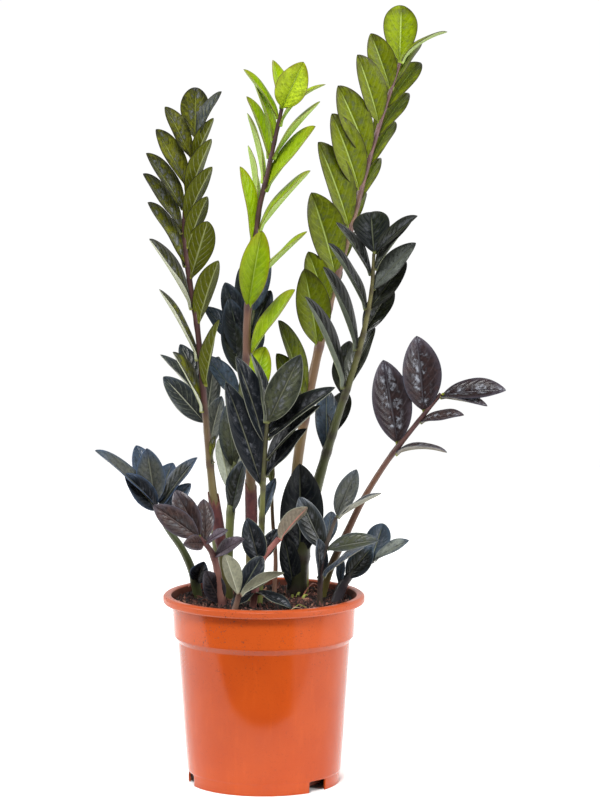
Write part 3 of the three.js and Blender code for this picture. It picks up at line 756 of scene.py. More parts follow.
leaf_look(
    "blue_green_leaf", "navy_leaf", 0.4, (0.76, 0.76), 0.3, 1.34, (50, 57, 54), (26, 31, 30),
    (62, 78, 96), (86, 96, 100), (130, 134, 108), (96, 106, 112), (150, 152, 134), (166, 166, 140),
    (88, 88, 64),
)

# A pale bluish white, painted onto the leaves' swells as highlights.
PAINTED_HIGHLIGHT_COLOUR = (158, 162, 172)
# The colours of single leaves that differ from the rest of their frond.
LEAF_SHADES = {
    "ink": (22, 26, 32), "soot": (36, 39, 30), "moss": (72, 76, 56), "olive": (86, 91, 10),
    "ash": (98, 101, 92), "steel": (72, 86, 102), "slate": (62, 70, 74),
    # The pale grey silver shade is a painted sheen, standing in for the reflection on single dark
    # leaves.
    "silver": (128, 134, 126), "lilac": (118, 106, 118), "lemon": (206, 232, 46),
    "apple": (128, 148, 4),
}


# ---- finishes ----
def leaf_finish(name, look):
    """Waxy leaf skin: clouded green with raised side veins, a pale rib and a thin margin,
    with painted highlights on the swells and a painted sheen and shade on its two halves.
    """
    finish = new_finish(name)
    names = ("along", "across", "under", "tone", "shade", "vein")
    along, across, under, tone, shade, phase = map(finish.field, names)
    side = abs(across)
    clouds = finish.noise(9, 4, 0.6)
    mottle = finish.noise(3.4, 4, 0.7)
    grain = finish.noise(0.9, 3, 0.6)
    own = finish.palette(shade, list(LEAF_SHADES.values()))
    owned = shade.rise(0, 0.01)

    right = across.rise(-0.12, 0.12)
    ridge = abs(phase.fraction() * 2 - 1)
    inner = side.rise(0.02, 0.14) * (1 - side.rise(0.62, 0.95)) * along.rise(0.02, 0.12)
    vein = ridge.rise(0.7, 1) * inner * mottle.rise(0.3, 0.65)
    rib = (1 - side.rise(0.015, 0.06)) * (1 - along.rise(0.72, 0.98))
    tip = along.rise(0.7, 1) * 0.8 + side.rise(0.55, 1) * 0.5
    edge = side.rise(0.95, 0.985) + along.rise(0.98, 0.995)
    swell = (1 - ridge) ** 0.6 * inner
    deep = (clouds + mottle * 0.5 + tone * 0.25).rise(*look.clouds)
    # Painted highlights: pale patches on the swells beside the midrib.
    painted_highlight = swell * (1 - side.rise(0.3, 0.62)) * clouds.rise(0.46, 0.6) * mottle.rise(0.36, 0.56)

    darker = finish.mix(owned * 0.5, look.cloud, own)
    upper = finish.coats(
        finish.mix(owned, look.upper, own),
        (deep, darker),
        (tip * clouds.rise(0.25, 0.55), look.tint),
        (mottle.rise(0.5, 0.68) * 0.6, look.cloud),
        (grain.rise(0.5, 0.7) * clouds.rise(0.4, 0.7) * 0.5, look.cloud),
        # Painted sheen on the left half, and painted shade on the right half and its veins.
        ((1 - right) * look.half_sheen_and_shade, look.vein),
        (right * look.half_sheen_and_shade, look.cloud),
        (vein * (0.38 - right * look.half_sheen_and_shade), look.vein),
        (rib * 0.75, look.rib),
        (painted_highlight * look.painted_highlight, PAINTED_HIGHLIGHT_COLOUR),
    )
    duller = finish.mix(0.42, look.under, look.upper)
    lower = finish.coats(
        finish.mix(mottle.rise(0.4, 0.7) * 0.7, look.under, duller),
        (owned, finish.mix(mottle.rise(0.4, 0.7), own, darker)),
        (vein * 0.5, duller),
        ((1 - side.rise(0.03, 0.09)) * 0.85, look.under_rib),
    )
    skin = finish.coats(
        finish.mix(under.rise(0.4, 0.6), upper, lower),
        (edge * 0.88, look.margin),
        (1 - along.rise(0.01, 0.06), look.stub),
    )
    rough = 0.2 + grain * 0.1 + clouds * 0.1 + under * 0.16
    height = swell * 0.62 + vein * 0.3 + rib * 0.3 + grain * 0.08 + mottle * 0.12
    return finish.surface(skin, rough, (height, 0.75), IOR=look.gloss)


def stem_finish(name, fade, foot, middle, top, blotch):
    """Fleshy stem: three colours up its length, long flecks, and dark marks at the joints."""
    finish = new_finish(name)
    along = finish.field("along")
    joint = finish.field("joint")
    flecks = finish.noise(2.2, 3, 0.65, squeeze=(1, 1, 0.16))
    clouds = finish.noise(14)
    fine = finish.noise(0.7, squeeze=(1, 1, 0.35))
    climb = along + clouds * 0.22 - 0.11
    stops = [(0.06, foot), (fade * 0.6, middle), (fade, middle), (fade + 0.2, top)]
    skin = finish.coats(
        finish.ramp(climb, stops),
        (flecks.rise(0.52, 0.78) * 0.45, blotch),
        (fine.rise(0.62, 0.8) * 0.3, blotch),
        (joint * (0.35 + flecks * 0.7), blotch),
    )
    relief = (fine * 0.4 + flecks * 0.6, 0.25)
    rough = 0.34 + fine * 0.16
    return finish.surface(skin, rough, relief, Coat_Weight=0.08, Coat_Roughness=0.25)


def sheath_finish(name):
    """Dry papery bract round the foot of a stem: maroon, ribbed lengthwise, paler at the lip."""
    finish = new_finish(name)
    along = finish.field("along")
    ribs = finish.noise(0.9, 3, 0.6, squeeze=(1, 1, 0.08))
    clouds = finish.noise(7, 3)
    skin = finish.coats(
        finish.mix(clouds.rise(0.3, 0.7), (94, 46, 46), (70, 34, 38)),
        (ribs.rise(0.55, 0.8) * 0.5, (136, 84, 74)),
        (along.rise(0.88, 1) * 0.7, (120, 78, 62)),
    )
    return finish.surface(skin, 0.5 + ribs * 0.2, (ribs, 0.4))


def pot_finish(name):
    """Moulded orange plastic, satin, with faint flow streaks, soil specks and fine scuffs,
    a lighter collar as painted light, and painted shade inside the pot and under its floor.
    """
    finish = new_finish(name)
    right = finish.place().axis("X")
    height = finish.place().axis("Z")
    radius = finish.place((1, 1, 0)).size()
    clouds = finish.noise(46)
    where = finish.noise(30)
    flow = finish.noise(5, 3, squeeze=(1, 1, 0.12))
    grain = finish.noise(0.8)
    specks = finish.noise(1.9, 1)
    scuff = finish.noise(3, 4, 0.7, squeeze=(1, 1, 3)).rise(0.66, 0.74)

    # Masks by the place on the pot, in metres.
    rim = height.rise(0.188, 0.191)
    collar = height.rise(0.154, 0.158)
    near_rim = height.rise(0.1, 0.17) * (1 - right.rise(-0.09, 0.03) * 0.7)
    # Painted shade: the inner wall above the soil, darkened below.
    inside = 1 - (radius - height.rise(0.1896, 0.1904) * 0.0022).rise(0.0942, 0.0948)
    inside = inside * height.rise(0.183, 0.187)
    # Painted shade: the hollow under the pot's floor, darkened below.
    shaded_hollow = (1 - radius.rise(0.0762, 0.0768)) * (1 - height.rise(0.014, 0.016))

    dirt = specks.rise(0.63, 0.68) * where.rise(0.4, 0.56) * (near_rim + 0.14)
    skin = finish.coats(
        finish.mix(clouds.rise(0.3, 0.7), (168, 66, 14), (162, 61, 11)),
        # Painted light: the collar above the step is mixed toward a lighter orange.
        (collar * 0.7, (186, 78, 24)),
        (flow.rise(0.5, 0.8) * 0.25, (188, 78, 20)),
        (grain.rise(0.5, 0.7) * 0.3, (152, 54, 14)),
        (rim * 0.45, (178, 84, 50)),
        (scuff * (0.16 + rim * 0.2), (226, 146, 110)),
        (dirt, (66, 34, 24)),
        # Painted shade on the inner wall.
        (inside * (0.8 + clouds * 0.2), (58, 25, 15)),
        # Painted shade in the hollow under the floor.
        (shaded_hollow * (0.8 + clouds * 0.2), (58, 22, 12)),
    )
    rough = 0.07 + grain * 0.03 + scuff * 0.1 + dirt * 0.4 + flow * 0.03
    rough = rough + rim * (0.16 + clouds * 0.1) + (inside + shaded_hollow) * 0.5
    return finish.surface(skin, rough, (grain * 0.3 + flow * 0.7, 0.05), IOR=POT_GLOSS)


def soil_finish(name):
    """Damp coir and bark: dark crumbs with pinkish-brown and tan bits."""
    finish = new_finish(name)
    tone = finish.field("tone")
    clouds = finish.noise(5, 3)
    grain = finish.noise(0.8, 3, 0.65)
    stops = [
        (0.1, (18, 9, 7)), (0.45, (44, 22, 18)), (0.7, (84, 47, 40)), (0.9, (128, 82, 70)),
        (1, (172, 126, 102)),
    ]
    skin = finish.ramp(tone + clouds * 0.4 - 0.2, stops)
    skin = finish.mix(grain.rise(0.5, 0.75) * 0.55, skin, (40, 22, 18))
    return finish.surface(skin, 0.72 + grain * 0.2, (grain, 0.7))


def root_finish(name, light, dark):
    """Thin root or twig with a fibrous skin, mottled from light to dark."""
    finish = new_finish(name)
    fibre = finish.noise(0.7, 3)
    clouds = finish.noise(5)
    skin = finish.mix(clouds.rise(0.35, 0.65), light, dark)
    skin = finish.mix(fibre.rise(0.5, 0.75) * 0.4, skin, dark)
    return finish.surface(skin, 0.5 + fibre * 0.2, (fibre, 0.3))


def floor_finish(name):
    """Matt white paper with a faint tooth. It glows except round the pot's foot, where the
    missing glow leaves a painted contact shadow.
    """
    finish = new_finish(name)
    tooth = finish.noise(2, 3)
    skin = finish.mix(tooth * 0.3, (250, 250, 249), (244, 244, 244))
    radius = finish.place(shift=(0, (FLOOR_RADIUS - FLOOR_IN_FRONT) * MM, 0)).size()
    # Painted shadow: no glow in a ring round the pot's foot, so the floor is darker there.
    glow = finish.mix(radius.rise(0.074, 0.092), (0, 0, 0), skin)
    rough = 0.9 + tooth * 0.05
    return finish.surface(skin, rough, Emission_Color=glow, Emission_Strength=FLOOR_GLOW)


# ---- leaves ----
def blade_directions(lean, front, turn):
    """Unit vectors of a leaf: along it, square to its upper face, and across it."""
    side, up = np.sin(np.radians(lean)), np.cos(np.radians(lean))
    toward = np.radians(front)
    forward = np.array([side * np.cos(toward), -np.sin(toward), up * np.cos(toward)])
    facing = np.array([0, -1, 0])
    facing = unit(facing - facing.dot(forward) * forward)
    inward = np.cross(forward, facing)
    if lean > 0:
        inward = -inward
    roll = np.radians(turn)
    normal = np.cos(roll) * facing + np.sin(roll) * inward
    return forward, normal, np.cross(forward, normal)


def add_leaf(leaves, draw, look, joint, stem_line, stem_radius, leaf):
    """One leaf: two cushioned halves on a sunk midrib, side veins, a waved rim, a round stub.

    "t" is the share of the leaf's length, down the rows. "s" goes across it from -1 to 1.
    """
    forward, normal, across = blade_directions(leaf.lean, leaf.front, leaf.turn)
    outward = unit(forward - forward.dot(stem_line) * stem_line)
    root = joint + outward * stem_radius * ROOT_OFFSET
    length = leaf.length * LEAF_SHARE
    half_width = length * leaf.ratio / 200
    even = np.arange(1, LEAF_RINGS + 1) / (LEAF_RINGS + 1)
    t = mix(even, 0.5 - 0.5 * np.cos(np.pi * even), 0.5)[:, None]
    stations = np.array(LEAF_STATIONS)
    s = np.concatenate([-stations[:0:-1], stations])[None, :]
    out = np.abs(s)

    # The outline.
    blade = np.clip((t - BLADE_START) / (1 - BLADE_START), 0, 1)
    base, tip = look.form
    widest = base / (base + tip)
    width = (blade / widest) ** base * ((1 - blade) / (1 - widest)) ** tip
    stub = stem_radius * ROOT_SHARE / half_width * (1 - ease(t, 0.06, 0.3))
    width = np.sqrt(width**2 + stub**2)

    # The curled and twisted middle line.
    bend = np.radians(leaf.curl)
    angle = bend * (0.5 - t)
    ahead = (np.sin(bend / 2) - np.sin(angle)) / bend
    lift = (np.cos(angle) - np.cos(bend / 2)) / bend
    spine = root + length * (ahead * forward + lift * normal)
    upward = np.cos(angle) * normal - np.sin(angle) * forward
    twist = np.radians(draw.uniform(-LEAF_TWIST, LEAF_TWIST)) * (t - 0.15)
    sideways = across * np.cos(twist) + upward * np.sin(twist)
    upward = upward * np.cos(twist) - across * np.sin(twist)

    # The side veins, as a phase that grows by one from each vein to the next.
    offset = draw.random()
    bow = VEIN_SLANT * out * (0.8 + 0.4 * out)
    phase = VEIN_PAIRS * t - bow + 0.5 * (s < 0) + offset + 0.12 * np.sin(9 * t + 7 * offset)
    panel = 1 - np.abs(2 * (phase % 1) - 1)
    inner = ease(out, 0.04, 0.2) * (1 - ease(out, 0.72, 1)) * ease(t, 0.06, 0.18)
    inner = inner * (1 - ease(t, 0.82, 0.98))

    # The upper face: folded, cushioned, grooved, quilted and waved.
    fold = np.radians(LEAF_FOLD)
    rise = half_width * width * out * np.sin(fold)
    rise = rise + HALF_CROWN * width * (1 - (2 * out - 1) ** 2)
    rise = rise - RIB_GROOVE * np.exp(-((s / 0.07) ** 2)) * (1 - t**2)
    rise = rise + look.quilt * (panel**0.7 - 0.4) * inner
    for hand in (-1, 1):
        swing = np.sin(2 * np.pi * (draw.uniform(1, 1.6) * t + draw.random()))
        wave = draw.uniform(0.5, 1) * RIM_WAVE
        rise = rise + (s * hand > 0) * wave * swing * out**2 * width
    lop = 1 + draw.uniform(-0.06, 0.06) * np.sign(s)
    reach = half_width * width * s * np.cos(fold) * lop

    # The underside and the two rims.
    thickness = LEAF_THICKNESS * (1 - 0.35 * s**2) * mix(0.45, 1, ease(1 - t, 0, 0.1))
    thickness = thickness + RIB_RIDGE * np.exp(-((s / 0.09) ** 2)) * (1 - t)
    thickness = thickness + stem_radius * 0.8 * (1 - ease(t, 0.02, 0.14)) * (1 - 0.5 * s**2)
    rim_rise = rise[:, [-1, 0]] - thickness[:, [-1, 0]] / 2
    rim_reach = reach[:, [-1, 0]] + np.array([[1, -1]]) * thickness[:, [-1, 0]] * 0.3

    def placed(reach, rise):
        reach, rise = (part[..., None] for part in np.broadcast_arrays(reach, rise))
        return spine[:, None] + reach * sideways[:, None] + rise * upward[:, None]

    def whole(upper, lower, rims=(0, 0), ends=0):
        """A point value of both faces, the right and left rims, and the first and last point."""
        parts = [upper, [rims[:1]], lower[:, ::-1], [rims[1:]]]
        parts = [np.broadcast_to(part, (LEAF_RINGS, np.shape(part)[1])) for part in parts]
        return np.concatenate([[ends], np.hstack(parts).ravel(), [ends]])

    rims = placed(rim_reach, rim_rise)
    lower = placed(reach, rise - thickness)[:, ::-1]
    rings = np.concatenate([placed(reach, rise), rims[:, :1], lower, rims[:, 1:]], axis=1)
    size = rings.shape[1]
    start = root - forward * stem_radius * 0.3
    end = root + length * (2 * np.sin(bend / 2) / bend) * forward
    plain = np.zeros_like(s)
    leaves.add(
        np.vstack([start, rings.reshape(-1, 3), end]), ringed(LEAF_RINGS, size),
        along=np.concatenate([[0], np.repeat(t[:, 0], size), [1]]),
        tone=draw.random(), shade=leaf.shade, across=whole(s, s, (1, -1)),
        under=whole(plain, plain + 1, (0.5, 0.5), 0.5), vein=whole(phase, phase),
    )


# ---- stems ----
def stem_path(route):
    """The stem's middle line from its foot in the soil, and the share of it that is buried."""
    first, second = np.array(route[:2], float)
    foot = first - (second - first) * BURIED / (second - first)[2]
    path = Path([foot, *route])
    return path, np.linalg.norm(foot - first) / path.length


def shade_place(shade):
    """Where a leaf's own shade stands among all of them, from 0 to 1, or 0 where it has none."""
    if shade == "-":
        return 0
    return (list(LEAF_SHADES).index(shade) + 0.5) / len(LEAF_SHADES)


def add_frond(name, frond, draw):
    """A stem with its leaves, and a sheath where it has one."""
    path, buried = stem_path(frond.route)
    look = LEAF_LOOKS[frond.look]

    def plain_radius(share):
        return spread(frond.girth, max(0, (share - buried) / (1 - buried)))

    leaves = Gathered()
    joints = []
    for shape, shades in frond.rows:
        for i, shade in enumerate(shades):
            place = i / max(len(shades) - 1, 1)
            leaf = SimpleNamespace(shade=shade_place(shade))
            for key, value in shape.items():
                setattr(leaf, key, spread(value, place))
            share = mix(buried, 1, leaf.at / 100)
            joint, line = path.at(share), path.direction(share)
            add_leaf(leaves, draw, look, joint, line, plain_radius(share), leaf)
            joints.append(share)

    def near_joint(share):
        gaps = (np.array(joints) - share) * path.length
        return float(np.exp(-((gaps / JOINT_REACH) ** 2)).max())

    def radius(share):
        lumps = noise.noise(Vector(path.at(share) / STEM_LUMP))
        return plain_radius(share) * (1 + JOINT_SWELL * near_joint(share) + STEM_RELIEF * lumps)

    points, faces, along = tube(path, radius, STEM_SIDES, int(path.length / STEM_STEP))
    marks = [near_joint(share) for share in along]
    plant = name.removeprefix("frond_")
    skin = leaf_finish(f"{plant} leaf skin", look)
    bark = stem_finish(f"{plant} stem skin", frond.fade, *frond.colours)
    leaves.piece(f"{plant}_leaves", skin, look.slot, name)
    stem = Gathered().add(points, faces, along=along, joint=marks)
    stem.piece(f"{plant}_stem", bark, look.slot, name)
    if frond.sheath:
        add_sheath(f"{plant}_sheath", path, frond.sheath, plain_radius, look.slot, name)


def add_sheath(name, path, span, stem_radius, slot, node):
    """A papery bract wrapped round the stem, open and torn at its upper lip."""
    low, high = np.array(span) / 100
    heights = np.linspace(0, 1, SHEATH_RINGS)
    lining = heights[::-1][:SHEATH_RINGS // 3]
    angles = np.arange(SHEATH_SIDES) / SHEATH_SIDES * 2 * np.pi
    tears = [noise.noise(Vector((7 * np.cos(a), 7 * np.sin(a), low * 90))) for a in angles]
    reach = 1 + 0.1 * np.cos(angles + 1) + 0.09 * np.array(tears)
    points = [path.at(low)]
    for wall, steps in ((0, heights), (SHEATH_WALL, lining)):
        for height in steps:
            swell = ease(height, 0, 0.25) * (1 - 0.25 * ease(height, 0.6, 1))
            for angle, far in zip(angles, reach):
                lift = height * (far if height > 0.5 else mix(1, far, 2 * height))
                share = min(mix(low, high, lift), 1)
                first, second = path.square(share)
                width = mix(stem_radius(share) + 0.2, SHEATH_RADIUS, swell) - wall
                across = np.cos(angle) * first + np.sin(angle) * second
                points.append(path.at(share) + width * across)
    points.append(path.at(mix(low, high, lining[-1])))
    along = np.concatenate([[0], np.repeat([*heights, *lining], SHEATH_SIDES), [1]])
    faces = ringed(SHEATH_RINGS + len(lining), SHEATH_SIDES)
    sheath = Gathered().add(np.array(points), faces, along=along)
    sheath.piece(name, sheath_finish(name.replace("_", " ")), slot, node, crease=60)


# ---- pot ----
def rounded(corners):
    """A profile of (radius, height, rounding) corners as points, each corner an arc."""
    spots = np.array([corner[:2] for corner in corners], float)
    points = [spots[0]]
    for (before, here, after), corner in zip(zip(spots, spots[1:], spots[2:]), corners[1:-1]):
        back, on = unit(before - here), unit(after - here)
        room = min(np.linalg.norm(before - here), np.linalg.norm(after - here)) * 0.45
        half = np.arccos(np.clip(back.dot(on), -1, 1)) / 2
        cut = min(corner[2] / np.tan(half), room)
        start, end = here + back * cut, here + on * cut
        for share in np.linspace(0, 1, ARC_STEPS):
            points.append(mix(mix(start, here, share), mix(here, end, share), share))
    return np.array([*points, spots[-1]])


def lathed(profile, sides):
    """Points and faces of a closed body turned about the pot's axis, from axis to axis."""
    angles = np.linspace(0, 2 * np.pi, sides, endpoint=False)
    points = [[0, 0, profile[0][1]]]
    for radius, height in profile[1:-1]:
        points += zip(radius * np.cos(angles), radius * np.sin(angles), [height] * sides)
    points.append([0, 0, profile[-1][1]])
    return np.array(points, float), ringed(len(profile) - 2, sides)


def new_pot():
    sides = [(radius, height, BODY_ROUNDING) for radius, height in BODY_SIDE]
    foot, body, collar = FOOT_RADIUS, BODY_BOTTOM_RADIUS, COLLAR_TOP_RADIUS
    underside = [
        (0, 0, 0), (PAD_RADIUS, 0, 1), (PAD_RADIUS + PAD_SLOPE, FLOOR_UNDERSIDE, 1),
        (RIB_RADIUS, FLOOR_UNDERSIDE, RIB_ROUNDING), (RIB_RADIUS, RIB_BOTTOM, RIB_ROUNDING),
        (RIB_RADIUS + RIB_WIDTH, RIB_BOTTOM, RIB_ROUNDING),
        (RIB_RADIUS + RIB_WIDTH, FLOOR_UNDERSIDE, RIB_ROUNDING),
        (foot - WALL, FLOOR_UNDERSIDE, 0.5), (foot - WALL, 0, 0.4), (foot, 0, 0.5),
        (foot + FOOT_FLARE, FLOOR_UNDERSIDE - 1, 0.4), (body, FLOOR_UNDERSIDE + 0.6, 0.5),
    ]
    outside = [
        *sides, (BODY_TOP_RADIUS, STEP_FOOT, 2.2), (COLLAR_BOTTOM_RADIUS, COLLAR_BOTTOM, 2),
        (collar, RIM_UNDERSIDE - 1.6, 0.6), (collar + 1.4, RIM_UNDERSIDE, 0.6),
    ]
    rim = [
        (RIM_RADIUS - 1.1, RIM_UNDERSIDE, 0.9), (RIM_RADIUS, RIM_UNDERSIDE + 1.5, 1),
        (RIM_RADIUS, POT_HEIGHT - 1.9, 1.2), (RIM_RADIUS - 2.3, POT_HEIGHT, 1.6),
        (RIM_INNER + RIM_EDGE, POT_HEIGHT, 1.6), (RIM_INNER - 0.4, POT_HEIGHT - RIM_CROWN, 1.2),
    ]
    inside = [
        (collar - WALL, RIM_UNDERSIDE, 2.5),
        (COLLAR_BOTTOM_RADIUS - WALL, COLLAR_BOTTOM + STEP_SHIFT, 3),
        (BODY_TOP_RADIUS - WALL, STEP_FOOT + STEP_SHIFT, 3),
        *[(radius - WALL, height, rounding) for radius, height, rounding in sides[::-1]],
        (body - WALL, FLOOR_TOP, 2), (PAD_RADIUS + PAD_SLOPE - WALL, FLOOR_TOP, 1),
        (PAD_RADIUS - WALL, FLOOR_THICKNESS, 1), (0, FLOOR_THICKNESS, 0),
    ]
    profile = rounded([*underside, *outside, *rim, *inside])
    shell = Gathered().add(*lathed(profile, POT_SIDES))
    skin = pot_finish("moulded orange plastic")
    cut_openings(shell.piece("nursery_pot", skin, "pot", "pot", crease=35))


def cut_openings(pot):
    """The three notches of the foot, with rounded upper corners, and the drain holes."""
    tool = bmesh.new()
    for angle in NOTCH_ANGLES:
        box = bmesh.ops.create_cube(tool, size=1)["verts"]
        reach = Vector((NOTCH_WIDTH, NOTCH_REACH, 2 * NOTCH_HEIGHT)) * MM
        bmesh.ops.scale(tool, vec=reach, verts=box)
        bmesh.ops.translate(tool, vec=(0, FOOT_RADIUS * MM, 0), verts=box)
        posts = [edge for edge in {edge for vert in box for edge in vert.link_edges}
                 if all(vert.co.z > 0 for vert in edge.verts)
                 and abs(edge.verts[0].co.x - edge.verts[1].co.x) < 1e-6]
        rounding = bmesh.ops.bevel(
            tool, geom=posts, offset=NOTCH_ROUNDING * MM, segments=5, affect="EDGES", profile=0.5
        )
        whole = {vert for vert in box if vert.is_valid} | set(rounding["verts"])
        turn = Matrix.Rotation(np.pi + np.radians(angle), 3, "Z")
        bmesh.ops.rotate(tool, cent=(0, 0, 0), matrix=turn, verts=list(whole))
    for i in range(DRAIN_COUNT):
        spin = Matrix.Rotation(2 * np.pi * i / DRAIN_COUNT, 4, "Z")
        spot = Matrix.Translation(Vector((DRAIN_CIRCLE, 0, FLOOR_TOP - FLOOR_THICKNESS / 2)) * MM)
        bmesh.ops.create_cone(
            tool, cap_ends=True, segments=DRAIN_SIDES, radius1=DRAIN_RADIUS * MM,
            radius2=DRAIN_RADIUS * MM, depth=3 * FLOOR_THICKNESS * MM, matrix=spin @ spot,
        )
    openings = linked("openings", meshed("openings", tool))
    modifier = pot.modifiers.new("openings", "BOOLEAN")
    modifier.object = openings
    modifier.operation = "DIFFERENCE"
    modifier.solver = "EXACT"
    bpy.context.view_layer.update()
    cut = pot.evaluated_get(bpy.context.evaluated_depsgraph_get())
    cut = bpy.data.meshes.new_from_object(cut)
    pot.modifiers.clear()
    pot.data = cut
    bpy.data.objects.remove(openings)


# ---- soil and roots ----
def soil_height(x, y):
    """The soil's surface: lumps and pits, and a bank against the pot's wall."""
    far = np.hypot(x, y) / SOIL_RADIUS
    mound = SOIL_MOUND * (1 - far**2) + SOIL_BANK * ease(far, 0.82, 1)
    lumps = noise.noise(Vector((x / SOIL_LUMP, y / SOIL_LUMP, 3)))
    pits = noise.noise(Vector((x / SOIL_PIT, y / SOIL_PIT, 8)))
    return SOIL_TOP + mound + SOIL_RELIEF * (0.6 * lumps + 0.7 * pits)


def new_soil():
    """A closed bed that fills the pot, with a lumpy top."""
    inset = WALL + SOIL_GAP
    sides = [
        (BODY_BOTTOM_RADIUS - inset, BED_BOTTOM),
        *[(radius - inset, height) for radius, height in BODY_SIDE],
        (BODY_TOP_RADIUS - inset, STEP_FOOT + SOIL_SHIFT),
        (COLLAR_BOTTOM_RADIUS - inset, COLLAR_BOTTOM + SOIL_SHIFT),
        (SOIL_RADIUS, SOIL_TOP - 2),
    ]
    tops = [(radius, SOIL_TOP) for radius in np.linspace(SOIL_RADIUS - 0.6, 1.5, BED_RINGS)]
    points, faces = lathed([(0, BED_BOTTOM), *sides, *tops, (0, SOIL_TOP)], BED_SIDES)
    tone = np.full(len(points), 0.3)
    for i in range(1 + len(sides) * BED_SIDES, len(points)):
        x, y = points[i, :2]
        points[i, 2] = soil_height(x, y)
        tone[i] = 0.15 + 0.3 * noise.noise(Vector((x / 3, y / 3, 20)))
    bed = Gathered().add(points, faces, tone=tone)
    bed.piece("soil_bed", soil_finish("damp soil"), "soil", "soil")


def on_bed(draw, margin):
    """A random spot on the bed, more often near the pot's wall."""
    far = (SOIL_RADIUS - margin) * draw.random() ** CROWDING
    turn = draw.uniform(0, 2 * np.pi)
    return far * np.cos(turn), far * np.sin(turn)


def ball(detail):
    """Points on a unit ball and its faces, from an icosahedron."""
    shape = bmesh.new()
    bmesh.ops.create_icosphere(shape, subdivisions=detail, radius=1)
    points = np.array([vert.co[:] for vert in shape.verts])
    faces = [[vert.index for vert in face.verts] for face in shape.faces]
    shape.free()
    return points, faces


def new_crumbs():
    """Loose crumbs of coir and bark on the bed, dark and pale."""
    draw = random.Random(CRUMB_SEED)
    shapes = {detail: ball(detail) for detail in (1, 2)}
    crumbs = Gathered()
    for _ in range(CRUMB_COUNT):
        size = draw.uniform(0.4, 1) if draw.random() < SMALL_CRUMBS else draw.uniform(1, 2)
        points, faces = shapes[2 if size > 1.5 else 1]
        x, y = on_bed(draw, size)
        shift = Vector([draw.uniform(0, 90) for _ in range(3)])
        swell = [1 + 0.5 * noise.noise(Vector(point) * 1.3 + shift) for point in points]
        stretch = np.array([draw.uniform(1, 3), draw.uniform(0.6, 1), draw.uniform(0.4, 0.8)])
        spin = Euler([draw.uniform(0, 2 * np.pi) for _ in range(3)]).to_matrix()
        lump = points * np.array(swell)[:, None] * stretch * size @ np.array(spin).T
        height = soil_height(x, y) + size * draw.uniform(0, 0.55)
        crumbs.add(lump + np.array([x, y, height]), faces, tone=draw.random())
    crumbs.piece("soil_crumbs", soil_finish("coir and bark crumbs"), "soil", "soil", crease=30)


def thread(knots, girth, sides, rings, aside):
    """Points and faces of a thin rod through knots, thicker at its start than at its end."""
    return tube(Path(knots), lambda share: girth * (1.1 - 0.5 * share), sides, rings, aside)[:2]


def new_fibres():
    """Hair-thin coir fibres strewn over the crumbs."""
    draw = random.Random(FIBRE_SEED)
    fibres = Gathered()
    for _ in range(FIBRE_COUNT):
        x, y = on_bed(draw, 4)
        heading = draw.uniform(0, 2 * np.pi)
        length = draw.uniform(3, 12)
        knots = []
        for _ in range(FIBRE_STEPS + 1):
            knots.append([x, y, soil_height(x, y) + draw.uniform(0.4, 2.2)])
            heading += draw.uniform(-0.6, 0.6)
            x += np.cos(heading) * length / FIBRE_STEPS
            y += np.sin(heading) * length / FIBRE_STEPS
            if np.hypot(x, y) > SOIL_RADIUS - 3:
                break
        if len(knots) > 2:
            points, faces = thread(knots, draw.uniform(0.16, 0.36), 6, 9, (0, 0, 1))
            fibres.add(points, faces, tone=draw.uniform(0.45, 1))
    fibres.piece("coir_fibres", soil_finish("coir fibre"), "soil", "soil")


def new_roots():
    """The few roots and twigs that show on the soil."""
    finishes = {
        "green": root_finish("green twig", (150, 156, 70), (104, 112, 44)),
        "red": root_finish("red root", (140, 84, 64), (96, 50, 42)),
        "pale": root_finish("pale root", (206, 186, 160), (150, 120, 98)),
        "pink": root_finish("pink root", (196, 130, 116), (140, 78, 70)),
    }
    for i, (colour, girth, knots) in enumerate(ROOTS):
        root = Gathered().add(*thread(knots, girth, 10, 28, (0, 0.3, 1)))
        root.piece(f"{colour}_root_{i}", finishes[colour], "soil", "soil")


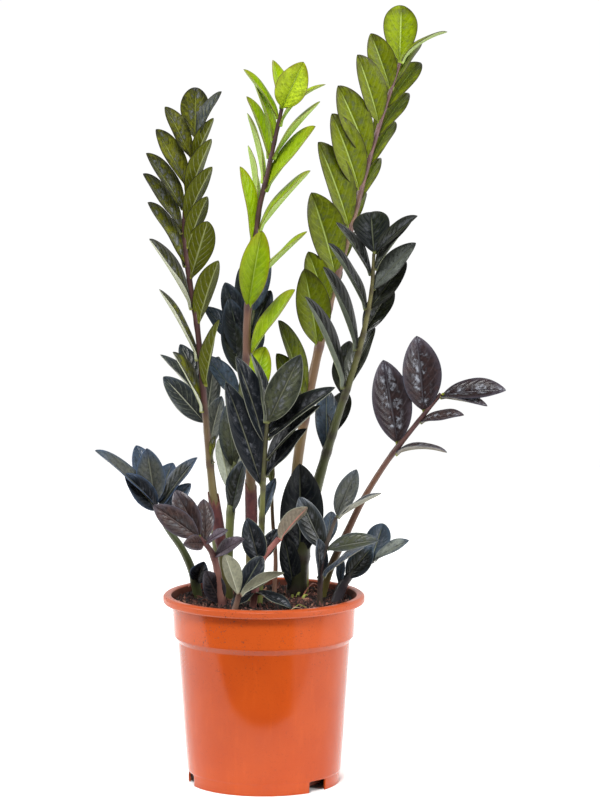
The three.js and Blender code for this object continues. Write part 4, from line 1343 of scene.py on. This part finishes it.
# ---- studio ----
def new_camera():
    camera = linked("camera", bpy.data.cameras.new("camera"))
    camera.location = Vector(CAMERA_PLACE) * MM
    camera.rotation_euler = np.radians([90 - CAMERA_PITCH, 0, 0])
    camera.data.lens = CAMERA_LENS
    camera.data.sensor_width = 36
    camera.data.clip_end = 100
    bpy.context.scene.camera = camera


def new_floor():
    shape = bmesh.new()
    bmesh.ops.create_circle(shape, cap_ends=True, segments=96, radius=FLOOR_RADIUS * MM)
    floor = linked("white_floor", meshed("white_floor", shape))
    floor.location = Vector((0, FLOOR_RADIUS - FLOOR_IN_FRONT, 0)) * MM
    floor.data.materials.append(floor_finish("white paper"))


def new_surroundings():
    """White where the camera looks, and a bright back, dim front and top for reflections."""
    world = bpy.data.worlds.new("studio")
    bpy.context.scene.world = world
    studio = Nodes(world)
    view = studio.node("TexCoord", {}, {}, "Generated")
    turn = {"Vector": view, "Angle": np.radians(-DARK_SIDE)}
    view = studio.node("VectorRotate", {"rotation_type": "Z_AXIS"}, turn)
    around = view.axis("Y").rise(*DARK_REACH, FRONT_LIGHT, BACK_LIGHT)
    glow = view.axis("Z").rise(*OVERHEAD_REACH, around, OVERHEAD_LIGHT)
    seen = studio.node("LightPath", {}, {}, "Is Camera Ray")
    strength = studio.node("Mix", {"data_type": "FLOAT"}, {0: seen, 2: glow, 3: SEEN_LIGHT})
    sky = studio.node("Background", {}, {"Color": (1, 1, 1, 1), "Strength": strength})
    studio.node("OutputWorld", {}, {"Surface": sky})


def new_light(name, place, power, size):
    lamp = bpy.data.lights.new(name, "AREA")
    lamp.shape = "RECTANGLE"
    lamp.size, lamp.size_y = size
    lamp.energy = power
    light = linked(name, lamp)
    light.location = place
    heading = Vector(AIM) - Vector(place)
    light.rotation_euler = heading.to_track_quat("-Z", "Y").to_euler()


# ---- making ----
new_camera()
new_floor()
new_surroundings()
for lamp in LAMPS:
    new_light(*lamp)
bpy.context.scene.view_settings.view_transform = "Standard"

new_pot()
new_soil()
new_crumbs()
new_fibres()
new_roots()
for number, (name, plant) in enumerate(FRONDS.items()):
    add_frond(name, plant, random.Random(FROND_SEED + number))
